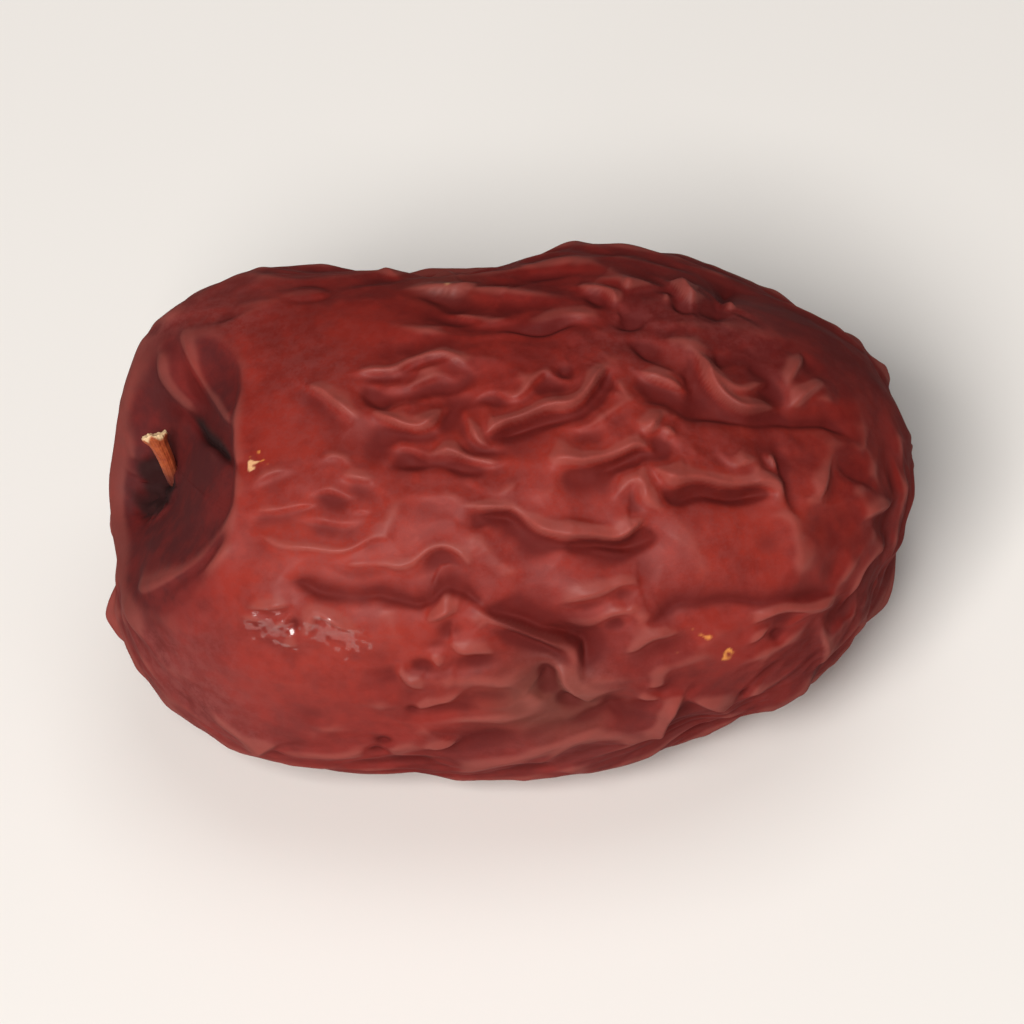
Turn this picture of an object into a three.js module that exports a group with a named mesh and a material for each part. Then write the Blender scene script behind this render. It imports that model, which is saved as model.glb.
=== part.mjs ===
// A dried jujube lying on its side: one wrinkled fruit with a sunken stalk pit at its left end,
// and the short stub of the stalk that stands in the pit. Millimetres, +Z up.
// The stalk end points to -X, the blossom end to +X, and the side that is seen best to -Y.
// The fruit is shaped about the middle of its body and is set down on its flat resting spot at the end.

import * as THREE from 'three'

// Driving dimensions of the body
const LENGTH = 45.2
const WIDTH = 30.0
const HEIGHT = 27.0
const END_POWER = 2.7 // the long profile is a superellipse: 2 is an ellipse, more is blunter
const GIRTH_POWER = 2.3 // the same for the girth
const NARROWING = { width: [0.02, 0.07], height: [0.05, 0.07] } // stalk end, blossom end
const MIDDLE_ABOVE_SURFACE = 12.9 // the lowest skin is pressed flat at this depth under the middle

// Facets of the skin: rings from the stalk to the blossom end, and facets in a ring
const RINGS = 54
const FACETS_IN_RING = 96
const FOCUS = 0.25 // how much closer the facets lie on the side that is seen best
const FOCUS_ANGLE = 50

// Places on the skin are given as x along the fruit and an angle round it:
// 0 is the front (-Y), 90 the top, 180 the back, -90 the underside.
// Broad lobes and dents: x, angle, size, height
const LOBES = [
  [-17.5, 130, 4.5, 1.3], [-3.2, 139, 3.4, -2.0], [6.5, 139, 3.5, -0.15], [17.0, 135, 5.0, -0.7],
  [21.0, -30, 5.0, -2.0], [12.5, -41, 4.0, -1.5], [-21.5, -10, 4.0, -0.6], [-21.0, -60, 3.5, 0.6],
  [19.0, -55, 3.0, 0.5], [9.8, -26, 1.9, -0.8], [14.8, -27, 1.8, 0.55], [19.6, -12, 1.4, 0.45],
  [22.2, 40, 2.5, 0.3], [-9.0, -38, 3.2, -0.55], [-5.5, -30, 1.6, -0.5], [-22.45, 115, 2.2, 0.55],
  [-22.3, 150, 3.5, -0.7], [-21.6, 6, 1.1, 0.35], [13.5, 128, 2.2, -0.6],
  [22.35, -110, 1.3, -0.9], // the blossom scar's dimple
]

// The stalk pit: a lopsided funnel with a crisp rim, and a small deeper hole round the stalk
const PIT_AXIS = new THREE.Vector3(-0.75, -0.12, 0.65).normalize() // points out of the pit
const PIT_MIDDLE = new THREE.Vector3(-18.96, -2.5, 6.7) // middle of the rim
const PIT_RIM = 7.3
const PIT_DEPTH = 4.2 // at the stalk's foot
const RIM_SWAYS = [ // the rim reaches further or less far here: share, clock angle, spread
  [0.16, 70, 45], [-0.14, 4, 38],
]
const CLIFF_HEIGHT = 0.35 // the skin drops sharply by this much inside the crisp side of the rim
const RIM_SOFTNESS = [0.42, 0.24] // soft side, crisp side
const CRISP_CLOCK = -10 // degrees round the pit where the rim is crispest
const PIT_BELOW = 6 // skin further than this under the rim's plane is outside the pit
const STALK_FOOT = [-21.75, 93] // where the stalk grew out of the skin: x, angle
const HOLLOW = { level: 0.45, clock: 165, size: 0.95, depth: 0.75 } // shrunken spot beside the stalk

// The stalk stub leans out of the pit; its torn end is a little wider than its middle
const STALK_LEAN = new THREE.Vector3(-0.25, 0.04, 1.19).normalize()
const STALK_LENGTH = 4.2
const STALK_SEAT_GAP = 0.5
const STALK_SIDES = 16
const STALK_PROFILE = [ // part of the length, radius
  [0.0, 0.0], [0.0, 0.18], [0.08, 0.3], [0.3, 0.41], [0.6, 0.47], [0.85, 0.53], [0.95, 0.66], [1.0, 0.62],
  [0.98, 0.3], [0.94, 0.0],
]

// Main folds of the skin: height, width, and the route as x, angle.
// A fold is a pinched crest, 1 / (1 + (distance / width)^2)^1.5, on a broad foot,
// exp(-(distance / 2.8 width)^2).
const CRESTS = [
  [0.45, 0.55, [[-11.2, 86.5], [-10, 82.5], [-9.2, 79], [-8.3, 76.5], [-7.4, 75]]],
  [0.40, 0.38, [[-8.9, 87], [-7.5, 86.3], [-6.2, 86.2],
    [-5.2, 88.3], [-4, 89], [-2.8, 87.5], [-1.7, 84.8]]],
  [0.30, 0.38, [[-8.8, 85.5], [-7.9, 83.5], [-6.5, 82],
    [-5.2, 82.2], [-4, 84], [-2.8, 83.6], [-1.7, 84.8]]],
  [0.50, 0.35, [[-7.4, 77.3], [-6.2, 74.3], [-5.6, 72.6],
    [-5, 72], [-4.3, 73.2], [-3.5, 75.5], [-2.6, 77.2]]],
  [0.45, 0.30, [[-7.2, 68.5], [-5.5, 67], [-4.5, 66], [-3.5, 66.4], [-2.5, 64.7], [-1, 62.5], [0.3, 62]]],
  [0.40, 0.35, [[-2.2, 77.3], [-2.1, 73], [-2.0, 70], [-1.6, 67.3], [-0.8, 66.3], [0.3, 67]]],
  [0.65, 0.32, [[-1.8, 68.8], [-0.5, 71.2], [0.3, 72.8], [2.2, 74], [3.9, 75.8], [4.9, 81.3], [6, 84.2]]],
  [0.35, 0.45, [[-2.1, 76], [-0.5, 79], [0.3, 77.7], [1, 78], [2.2, 83.2], [3.6, 80.6], [4.4, 83]]],
  [0.40, 0.50, [[-3.6, 104.6], [-2.5, 103], [-1.5, 101.5], [-0.6, 99.6], [0.5, 99.2]]],
  [0.65, 0.30, [[-3.1, 54.6], [-1, 53.6], [0, 53.4], [1.5, 48.3],
    [2.5, 46.7], [5.3, 45.8], [7, 49.3], [7.9, 51.3]]],
  [0.35, 0.60, [[-10.3, 43.2], [-7.2, 42.2], [-6.2, 41.6],
    [-4.4, 45.5], [-3.6, 45.2], [-2.5, 39.5], [-3.2, 38.3]]],
  [0.60, 0.30, [[-1.9, 31.5], [-1, 29], [0, 26.6], [1, 24.2], [2, 21.8], [2.9, 19.6]]],
  [0.45, 0.60, [[-5.2, 29], [-4.2, 31], [-3.3, 31.8], [-2.9, 30.3]]],
  [0.45, 0.40, [[-3.9, 27], [-3.4, 22.3], [-2.9, 21], [-2, 20.6], [-1.2, 20.4], [-0.4, 21]]],
  [0.50, 0.35, [[0.9, 17.3], [1.6, 16.6], [2.1, 14.5], [2.4, 11.5], [3.1, 8], [3.7, 4.5], [4.1, 1]]],
  [0.30, 0.60, [[2, 70], [4, 69.6], [5.2, 71.6], [6.8, 75.6], [8.6, 76]]],
  [0.55, 0.30, [[1.8, 64.3], [3, 62], [4, 60.9], [5, 62.3], [6, 63.9], [6.9, 65.1], [8.1, 62]]],
  [0.50, 0.50, [[8.8, 75.5], [8.2, 72], [7.7, 68.5], [7.2, 65.8]]],
  [0.60, 0.32, [[7.1, 61.5], [7.8, 59.3], [8.5, 57.8], [10.5, 56.7], [12, 56.8], [13.4, 56], [15, 56.2]]],
  [0.45, 0.45, [[5.2, 53.5], [5.9, 55.2], [6.6, 56.9], [7.4, 53.7], [8, 52.3], [9, 51.5]]],
  [0.50, 0.60, [[7, 84.7], [8, 82.4], [9, 80.7], [10, 79.2], [10.7, 79.8]]],
  [0.70, 0.50, [[10.1, 91], [10.8, 87], [11.2, 82.5],
    [11.8, 78.5], [13.2, 74.9], [14.2, 75.4], [15.2, 76.8]]],
  [0.55, 0.70, [[15.2, 76.8], [16, 79.5], [16.6, 82.5], [17.3, 85.5], [18, 88.5]]],
  [0.45, 0.40, [[4, 110.5], [5, 108.2], [6, 107.2], [6.7, 104.7], [7.2, 102.8]]],
  [0.65, 0.30, [[9.0, 117.8], [9.7, 113.7], [10.7, 108.2], [11.2, 109], [12.1, 111]]],
  [0.40, 0.40, [[1.9, 31], [2.8, 32.4], [4, 33.1], [5.8, 35.9], [6.7, 35.5], [7.3, 33.6]]],
  [0.35, 0.35, [[1.9, 29.3], [2.6, 28], [3.5, 26.6], [5.2, 29.1], [7.2, 30]]],
  [0.35, 0.45, [[4.8, 18.3], [6.2, 19], [7.2, 21.2], [8.3, 21.6], [9.3, 23.7]]],
  [0.45, 0.80, [[12.2, 20.5], [13.5, 22.6], [15, 22], [16, 20.2], [17, 18], [17.6, 15.5]]],
  [0.60, 0.40, [[9.1, 4.5], [8.5, 1], [8.2, -3], [7.9, -8], [7.5, -14], [7.1, -19.5]]],
  [0.45, 0.50, [[8.8, 1.5], [9.7, -1], [10.5, -6], [11.3, -12]]],
  [0.45, 0.45, [[16.3, 97], [16.1, 92], [15.7, 86], [15.3, 80.5]]],
  [0.40, 0.80, [[16.2, 79], [17.5, 81.5], [18.7, 81]]],
  [0.35, 0.60, [[17.7, 65], [17.6, 60], [17.3, 55], [16.6, 49]]],
  [0.40, 0.45, [[18.4, 11], [19.1, 17.5], [19.5, 22], [20.3, 26], [21.3, 27.5]]],
  [0.35, 0.45, [[17.3, 11], [17.1, 5], [17.2, -5], [17.3, -16]]],
  [0.35, 0.35, [[-14.7, 51], [-13.3, 48.3], [-12, 47.4], [-10, 46.6], [-8, 47.4], [-6, 46.7]]],
  [0.38, 0.28, [[-12.0, 24.8], [-11.6, 27], [-10.9, 31.2], [-9.2, 28.6], [-8.3, 27]]],
  [0.35, 0.25, [[-14.9, 32.2], [-13.6, 33.3], [-12.4, 33.6], [-12.1, 32.4]]],
  [0.50, 0.30, [[-13.3, -16.5], [-14.2, -19.5], [-14.6, -23], [-14.9, -28.5]]],
]

// Creases, sunk by their first number
const CREASES = [
  [0.45, 0.38, [[-8.7, 83], [-7.6, 80], [-6.8, 78], [-6, 76.2], [-5.3, 75.3]]],
  [0.50, 0.42, [[-7.2, 64.2], [-5.6, 63.6], [-4.2, 64.2], [-3.1, 62.7], [-0.8, 59.7]]],
  [0.45, 0.32, [[-3, 70.5], [-2.7, 67.3], [-2.1, 65.3], [-1, 65], [0.2, 64.6]]],
  [0.70, 0.32, [[-0.8, 96.8], [0.3, 95.5], [1.4, 95.1], [2.4, 95.6], [3.3, 96.9], [5, 97]]],
  [0.55, 0.38, [[5.9, 98.3], [6.6, 97.5], [7.3, 98.3], [7.9, 100], [8.6, 101.3]]],
  [0.55, 0.32, [[-1.3, 68.9], [-0.4, 69.7], [0.5, 70.8], [2.6, 71.8], [3.8, 72.6]]],
  [0.35, 0.50, [[1.5, 51], [3, 50.2], [4.5, 49.7], [5.8, 49.8]]],
  [0.70, 0.40, [[-12.9, 41.2], [-10.8, 35.3], [-9.4, 34.6],
    [-8, 35.6], [-5.8, 33.1], [-4, 36.5], [-1.1, 31]]],
  [1.10, 0.42, [[-2, 33.6], [-1.1, 31], [0, 28.6], [1, 26.3],
    [2.8, 23], [3.4, 20.8], [3.6, 17], [3.5, 12]]],
  [0.60, 0.42, [[-1.6, 29.3], [-0.7, 26.2], [0.3, 23.3], [1.3, 20.6], [2.4, 17.7], [3.2, 14]]],
  [0.45, 0.35, [[4.4, 59.3], [5.5, 60.2], [6.4, 61.3], [7.2, 61.7]]],
  [0.60, 0.38, [[7.9, 56.3], [9, 53.8], [10.5, 53.5], [12.5, 53], [14.8, 54]]],
  [0.60, 0.42, [[8.9, 75.7], [9.5, 73.7], [11.5, 72.2], [14, 72], [16.8, 73.5], [19.3, 71.7]]],
  [0.40, 0.38, [[6.4, 93.5], [7.3, 91], [8.1, 88.2], [9, 86], [10, 84], [10.7, 81.8]]],
  [0.70, 0.55, [[13.3, 132], [13, 122], [12.6, 113], [12.1, 105], [11.5, 98.5]]],
  [0.45, 0.28, [[1.6, 45.2], [3, 44.4], [5.6, 43], [6.8, 43.1], [8.4, 46.2]]],
  [0.55, 0.48, [[6.1, 25.7], [7.3, 25.2], [9, 28.8], [11.5, 28.1], [14.3, 26], [17, 22.6], [17.7, 19.5]]],
  [0.50, 0.32, [[14.9, 67.5], [15.1, 62], [15.15, 56], [15.1, 51.5], [16, 45.5]]],
  [0.40, 0.75, [[18, 69], [18.4, 63], [19, 58], [20, 55], [20.8, 51]]],
]

// Folds on the pit's wall: height, width, and the route as part of the way from foot to rim, clock angle
const PIT_CRESTS = [
  [0.60, 0.35, [[0.95, 88], [0.84, 85], [0.67, 79], [0.54, 64],
    [0.53, 41], [0.72, 8.5], [0.92, -8], [1.0, -13]]],
  [0.50, 0.35, [[1.08, 80], [0.90, 71.5], [0.74, 58], [0.71, 43], [0.79, 26], [0.92, 10], [1.0, -1]]],
  [0.45, 0.35, [[1.0, -30], [0.98, -40], [0.93, -52], [0.88, -68],
    [0.82, -88], [0.80, -110], [0.82, -132]]],
]
const FOLD_SPREAD = 1.55 // the folds are this much broader than life, so that the facets carry them
const FOLD_MINIMUM_WIDTH = 0.5
const FOLD_CREST_SHARE = 0.68 // the crest's part of the height; the foot has the rest
const FOLD_FOOT_WIDTH = 2.8 // times the crest's
const FOLD_STEP = 0.6 // spacing of the points along a fold's route
const FOLD_TAPER = 1.4 // length over which a fold rises at its ends
const FOLD_END_SHARE = 0.25 // part of its height that it starts with

// Wrinkles of the sides that are out of sight: crests along the zero lines of seeded sums of waves
const MEANDERS = [
  { seed: 21, shortest: 7, longest: 11, stretch: 2.2, width: 0.8, height: 0.95 },
  { seed: 35, shortest: 5, longest: 9, stretch: 1.6, width: 0.7, height: 0.6 },
]
const MEANDER_WAVES = 18
const MEANDER_SINK = 0.28
const MEANDER_SLOPES = [0.15, 0.8] // a wave field's least slope, and the slope where its crests are full
const HIDDEN_FROM = 80 // angle away from the side seen best, where these wrinkles start
const HIDDEN_FULLY = 112
const SWELL = { seed: 11, waves: 16, shortest: 7, longest: 14, stretch: 1.4, height: 0.1 }
const RESTING_SPOT = { length: 9, width: 7, fade: 2 } // no wrinkles on the flat spot

const skinMaterial = new THREE.MeshStandardMaterial({ color: 0x8c2b22, roughness: 0.45, metalness: 0 })
const stalkMaterial = new THREE.MeshStandardMaterial({ color: 0xb5652b, roughness: 0.8, metalness: 0 })

// Smooth step from 0 at a to 1 at b
function rise(a, b, x) {
  const t = THREE.MathUtils.clamp((x - a) / (b - a), 0, 1)
  return t * t * (3 - 2 * t)
}

// Linear congruential draw of numbers from 0 to 1
function seededDraw(seed) {
  let state = seed
  return () => {
    state = (state * 1664525 + 1013904223) % 4294967296
    return state / 4294967296
  }
}

// The plain form: a unit vector to the superellipsoid with a gently squared girth
function plainForm(s) {
  const ring = Math.hypot(s.y, s.z)
  const t = Math.sign(s.x) * Math.abs(s.x) ** (2 / END_POWER)
  const reach = ring ** (2 / END_POWER)
  const v = Math.atan2(s.z, -s.y)
  const girth = Math.abs(Math.cos(v)) ** GIRTH_POWER + Math.abs(Math.sin(v)) ** GIRTH_POWER
  const squared = girth ** (-1 / GIRTH_POWER)
  const end = t < 0 ? 0 : 1
  const wide = 1 - NARROWING.width[end] * t * t
  const high = 1 - NARROWING.height[end] * t * t
  return new THREE.Vector3(
    (t * LENGTH) / 2,
    (-WIDTH / 2) * wide * reach * Math.cos(v) * squared,
    (HEIGHT / 2) * high * reach * Math.sin(v) * squared,
  )
}

// Outward direction of the plain form, taken from the ellipsoid with its three sizes
function outward(p) {
  return new THREE.Vector3(p.x / LENGTH ** 2, p.y / WIDTH ** 2, p.z / HEIGHT ** 2).normalize()
}

// The unit vector whose point on the plain form lies at x, at this angle round the girth
function directionAt(x, angle) {
  const v = THREE.MathUtils.degToRad(angle)
  const t = THREE.MathUtils.clamp(x / (LENGTH / 2), -0.9999, 0.9999)
  const sx = Math.sign(t) * Math.abs(t) ** (END_POWER / 2)
  const ring = Math.sqrt(1 - sx * sx)
  return new THREE.Vector3(sx, -ring * Math.cos(v), ring * Math.sin(v))
}

function skinPlace(x, angle) {
  return plainForm(directionAt(x, angle))
}

const lobes = LOBES.map(([x, angle, size, height]) => ({ place: skinPlace(x, angle), size, height }))

function lobeHeight(p) {
  const heights = lobes.map((l) => l.height * Math.exp(-p.distanceToSquared(l.place) / (2 * l.size ** 2)))
  return heights.reduce((sum, height) => sum + height, 0)
}

// The pit's own plane: its two directions and the stalk's foot in it
const pitRight = new THREE.Vector3(1, 0, 0).addScaledVector(PIT_AXIS, -PIT_AXIS.x).normalize()
const pitBack = new THREE.Vector3().crossVectors(PIT_AXIS, pitRight)

function inPitPlane(p) {
  const w = p.clone().sub(PIT_MIDDLE)
  return new THREE.Vector2(w.dot(pitRight), w.dot(pitBack))
}

const footInPit = inPitPlane(skinPlace(...STALK_FOOT))

function rimSway(clock) {
  const sway = ([share, angle, spread]) => share * Math.exp(-(((clock - angle) / spread) ** 2))
  return RIM_SWAYS.map(sway).reduce((sum, share) => sum + share, 0)
}

// Where a point lies in the pit: its level circles slide from the stalk's foot (0) to the rim (1)
function pitPlace(p) {
  const inPit = p.clone().sub(PIT_MIDDLE).dot(PIT_AXIS) > -PIT_BELOW
  const flat = inPitPlane(p)
  const g = flat.clone().sub(footInPit)
  const gf = g.dot(footInPit)
  const k = PIT_RIM ** 2 - footInPit.lengthSq()
  const circle = (gf + Math.sqrt(gf * gf + k * g.lengthSq())) / k
  const spoke = g.addScaledVector(footInPit, circle)
  const clock = Math.atan2(spoke.y, spoke.x)
  const level = inPit ? circle / (1 + rimSway(THREE.MathUtils.radToDeg(clock))) : 9
  const rimPoint = new THREE.Vector2(Math.cos(clock), Math.sin(clock)).multiplyScalar(PIT_RIM)
  const reach = rimPoint.distanceTo(footInPit)
  return { inPit, flat, level, clock, reach, inside: (1 - level) * reach }
}

function onPitPlane(level, clock) {
  const a = THREE.MathUtils.degToRad(clock)
  const spoke = new THREE.Vector2(Math.cos(a), Math.sin(a)).multiplyScalar(level * PIT_RIM)
  return footInPit.clone().multiplyScalar(1 - level).add(spoke)
}

const hollowMiddle = onPitPlane(HOLLOW.level, HOLLOW.clock)

// How far the skin is sunk along the pit's axis
function pitSink({ inPit, flat, level, clock, reach, inside }) {
  if (!inPit) return 0
  const crisp = rise(-0.2, 0.8, Math.cos(clock - THREE.MathUtils.degToRad(CRISP_CLOCK)))
  const softness = THREE.MathUtils.lerp(RIM_SOFTNESS[0], RIM_SOFTNESS[1], crisp) / reach
  const cone = softness * Math.log1p(Math.exp((1 - level) / softness))
  const cliff = CLIFF_HEIGHT * crisp * rise(-0.25, 0.75, inside) * Math.min(1, level / 0.5)
  const hollow = HOLLOW.depth * Math.exp(-flat.distanceToSquared(hollowMiddle) / (2 * HOLLOW.size ** 2))
  return PIT_DEPTH * cone + cliff + hollow
}

// Catmull-Rom curve through chosen points, cut into even steps
function evenRoute(points, place, closeness) {
  const curve = new THREE.CatmullRomCurve3(points, false, 'centripetal')
  const steps = Math.max(3, Math.ceil(curve.getLength() / closeness))
  return curve.getSpacedPoints(steps).map(place)
}

function skinFold([height, width, route]) {
  const points = route.map(([x, angle]) => skinPlace(x, angle))
  return { height, width: foldWidth(width), route: evenRoute(points, (p) => p, FOLD_STEP) }
}

function pitFold([height, width, route]) {
  const points = route.map(([level, clock]) => {
    const a = THREE.MathUtils.degToRad(clock)
    return new THREE.Vector3(Math.cos(a), Math.sin(a), 0).multiplyScalar(level * PIT_RIM)
  })
  return { height, width: foldWidth(width), route: evenRoute(points, (p) => p, FOLD_STEP) }
}

function foldWidth(width) {
  return Math.max(width * FOLD_SPREAD, FOLD_MINIMUM_WIDTH)
}

// Height of one fold at a point: full on its line, less to both sides and at its ends
function foldHeight(p, fold) {
  let nearest = Infinity
  let runAtNearest = 0
  let run = 0
  const along = new THREE.Vector3()
  const from = new THREE.Vector3()
  for (let i = 0; i + 1 < fold.route.length; i++) {
    along.subVectors(fold.route[i + 1], fold.route[i])
    from.subVectors(p, fold.route[i])
    const length = along.length()
    const t = THREE.MathUtils.clamp(from.dot(along) / (length * length), 0, 1)
    const distance = from.addScaledVector(along, -t).length()
    if (distance < nearest) {
      nearest = distance
      runAtNearest = run + t * length
    }
    run += length
  }
  const end = rise(0, FOLD_TAPER, Math.min(runAtNearest, run - runAtNearest))
  const share = FOLD_END_SHARE + (1 - FOLD_END_SHARE) * end
  const crest = (1 + (nearest / fold.width) ** 2) ** -1.5
  const foot = Math.exp(-((nearest / (FOLD_FOOT_WIDTH * fold.width)) ** 2))
  return fold.height * share * THREE.MathUtils.lerp(foot, crest, FOLD_CREST_SHARE)
}

// Soft maximum, so that folds that meet don't pile up
function together(heights) {
  return heights.reduce((sum, h) => sum + Math.max(h, 0) ** 4, 0) ** 0.25
}

const crests = CRESTS.map(skinFold)
const creases = CREASES.map(skinFold)
const pitCrests = PIT_CRESTS.map(pitFold)

// Sum of plane waves with seeded directions, lengths and phases, stretched along the fruit
function waveField({ seed, waves, shortest, longest, stretch }) {
  const draw = seededDraw(seed)
  const terms = Array.from({ length: waves }, () => {
    const up = 2 * draw() - 1
    const turn = 2 * Math.PI * draw()
    const side = Math.sqrt(1 - up * up)
    const length = shortest + (longest - shortest) * draw()
    const k = new THREE.Vector3(up / stretch, side * Math.cos(turn), side * Math.sin(turn))
    return { k: k.multiplyScalar((2 * Math.PI) / length), phase: 2 * Math.PI * draw() }
  })
  const share = Math.sqrt(2 / waves)
  return (p) => {
    const slope = new THREE.Vector3()
    let value = 0
    for (const { k, phase } of terms) {
      value += Math.sin(k.dot(p) + phase) * share
      slope.addScaledVector(k, Math.cos(k.dot(p) + phase) * share)
    }
    return { value, slope }
  }
}

const swell = waveField(SWELL)
const meanders = MEANDERS.map((m) => ({ ...m, field: waveField({ ...m, waves: MEANDER_WAVES }) }))

// Crest of even width along the zero lines of a wave field
function meanderHeight(p, out, { field, width, height }) {
  const { value, slope } = field(p)
  const across = slope.addScaledVector(out, -slope.dot(out)).length()
  const [least, full] = MEANDER_SLOPES
  const distance = value / Math.max(across, least)
  return height * (1 + (distance / width) ** 2) ** -1.5 * THREE.MathUtils.clamp(across / full, 0, 1)
}

// The skin at a unit vector: plain form, lobes, pit, folds and wrinkles
function skin(s) {
  const p = plainForm(s)
  const out = outward(p)
  const pit = pitPlace(p)
  const angle = THREE.MathUtils.radToDeg(Math.atan2(p.z, -p.y))
  const away = Math.abs(((angle - FOCUS_ANGLE + 540) % 360) - 180)
  const onSpot = Math.hypot(p.x / RESTING_SPOT.length, p.y / RESTING_SPOT.width)
  const offSpot = p.z > 0 ? 1 : rise(1, RESTING_SPOT.fade, onSpot)
  const hidden = rise(HIDDEN_FROM, HIDDEN_FULLY, away) * rise(1.05, 1.4, pit.level) * offSpot
  const wrinkles = hidden * (together(meanders.map((m) => meanderHeight(p, out, m))) - MEANDER_SINK)
  const folds = together(crests.map((f) => foldHeight(p, f))) - together(creases.map((f) => foldHeight(p, f)))
  const onWall = new THREE.Vector3(Math.cos(pit.clock), Math.sin(pit.clock), 0)
  onWall.multiplyScalar(pit.level * PIT_RIM)
  const pitFolds = pit.inPit ? together(pitCrests.map((f) => foldHeight(onWall, f))) : 0
  const height = lobeHeight(p) + folds + pitFolds + wrinkles + SWELL.height * swell(p).value * offSpot
  return p.addScaledVector(out, height).addScaledVector(PIT_AXIS, -pitSink(pit))
}

// Polar angles of the rings, spaced evenly along the long profile
function ringAngles() {
  const samples = 2000
  const runs = [0]
  let last = plainForm(new THREE.Vector3(-1, 0, 0))
  for (let i = 1; i <= samples; i++) {
    const u = (Math.PI * i) / samples
    const next = plainForm(new THREE.Vector3(-Math.cos(u), 0, Math.sin(u)))
    runs.push(runs[i - 1] + next.distanceTo(last))
    last = next
  }
  return Array.from({ length: RINGS + 1 }, (_, ring) => {
    const wanted = (runs[samples] * ring) / RINGS
    let i = 1
    while (i < samples && runs[i] < wanted) i++
    const part = (wanted - runs[i - 1]) / (runs[i] - runs[i - 1])
    return (Math.PI * (i - 1 + part)) / samples
  })
}

// Unit vector of the skin's grid: the first pole is moved to the stalk's foot, and the move fades with u
const foot = directionAt(...STALK_FOOT)

function gridDirection(u, v) {
  const fade = ((1 + Math.cos(u)) / 2) ** 1.5
  return new THREE.Vector3(
    -Math.cos(u),
    -Math.sin(u) * Math.cos(v) + (foot.y / -foot.x) * fade,
    Math.sin(u) * Math.sin(v) + (foot.z / -foot.x) * fade,
  ).normalize()
}

function fruitGeometry() {
  const angles = ringAngles()
  const points = [skin(gridDirection(0, 0))]
  for (let ring = 1; ring < RINGS; ring++) {
    for (let j = 0; j < FACETS_IN_RING; j++) {
      const w = (2 * Math.PI * j) / FACETS_IN_RING
      const v = w - FOCUS * Math.sin(w - THREE.MathUtils.degToRad(FOCUS_ANGLE))
      points.push(skin(gridDirection(angles[ring], v)))
    }
  }
  points.push(skin(gridDirection(Math.PI, 0)))
  const at = (ring, j) => 1 + (ring - 1) * FACETS_IN_RING + (j % FACETS_IN_RING)
  const end = points.length - 1
  const faces = []
  for (let j = 0; j < FACETS_IN_RING; j++) {
    faces.push(0, at(1, j), at(1, j + 1))
    for (let ring = 1; ring < RINGS - 1; ring++) {
      faces.push(at(ring, j), at(ring + 1, j + 1), at(ring, j + 1))
      faces.push(at(ring, j), at(ring + 1, j), at(ring + 1, j + 1))
    }
    faces.push(at(RINGS - 1, j), end, at(RINGS - 1, j + 1))
  }
  const geometry = new THREE.BufferGeometry()
  geometry.setAttribute('position', new THREE.Float32BufferAttribute(points.flatMap((p) => p.toArray()), 3))
  geometry.setIndex(faces)
  return geometry
}

// The body is set down: its box stands over the origin, and skin below the surface is pressed flat.
// Gives back how far the body's middle was moved.
function setDown(geometry) {
  geometry.computeBoundingBox()
  const middle = geometry.boundingBox.getCenter(new THREE.Vector3())
  const move = new THREE.Vector3(-middle.x, -middle.y, MIDDLE_ABOVE_SURFACE)
  geometry.translate(...move)
  const position = geometry.attributes.position
  for (let i = 0; i < position.count; i++) {
    position.setZ(i, Math.max(position.getZ(i), 0))
  }
  geometry.computeVertexNormals()
  return move
}

function stalkGeometry() {
  const profile = STALK_PROFILE.map(([part, radius]) => new THREE.Vector2(radius, part * STALK_LENGTH))
  return new THREE.LatheGeometry(profile, STALK_SIDES)
}

const group = new THREE.Group()

const fruit = new THREE.Mesh(fruitGeometry(), skinMaterial)
fruit.name = 'fruit'
const moved = setDown(fruit.geometry)
group.add(fruit)

const stalk = new THREE.Mesh(stalkGeometry(), stalkMaterial)
stalk.name = 'stalk'
stalk.quaternion.setFromUnitVectors(new THREE.Vector3(0, 1, 0), STALK_LEAN)
stalk.position.copy(skin(foot)).add(moved).addScaledVector(PIT_AXIS, STALK_SEAT_GAP)
group.add(stalk)

export default group
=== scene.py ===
"""A dried jujube on a pale floor: wrinkled red skin, a sunken stalk pit and a torn stalk stub.

Shapes are worked out in millimetres about the middle of the fruit's body and put into their
meshes in metres, set down on the floor. x runs from the stalk end to the blossom end; a place on
the skin is given as x and an angle round the girth: 0 is the front, 90 the top, 180 the back.
"""

import bpy
import numpy as np
from mathutils import Matrix, Vector


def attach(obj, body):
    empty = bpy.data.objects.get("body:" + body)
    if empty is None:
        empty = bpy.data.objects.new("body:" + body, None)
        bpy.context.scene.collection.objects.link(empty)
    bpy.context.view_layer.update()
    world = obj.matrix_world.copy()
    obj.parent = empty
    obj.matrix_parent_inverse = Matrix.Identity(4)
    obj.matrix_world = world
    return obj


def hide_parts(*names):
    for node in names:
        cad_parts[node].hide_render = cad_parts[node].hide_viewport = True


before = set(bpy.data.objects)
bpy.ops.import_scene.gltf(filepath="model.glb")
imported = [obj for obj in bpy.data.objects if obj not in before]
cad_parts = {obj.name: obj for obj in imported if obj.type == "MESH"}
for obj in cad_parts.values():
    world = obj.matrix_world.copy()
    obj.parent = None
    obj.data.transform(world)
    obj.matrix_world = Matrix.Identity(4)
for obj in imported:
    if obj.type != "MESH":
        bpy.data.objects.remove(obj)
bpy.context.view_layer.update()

MM = 0.001
CLOSE_TO_POLE = 0.9999  # share of the half length that counts as the pole

# Driving dimensions of the body, as in the part's source
LENGTH, WIDTH, HEIGHT = 45.2, 30.0, 27.0
END_POWER = 2.7
GIRTH_POWER = 2.3
NARROWING = {"width": (0.02, 0.07), "height": (0.05, 0.07)}  # stalk end, blossom end
BODY_PLACE = np.array([0.051, 0.076, 12.9])  # middle of the body in the row's frame

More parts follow.
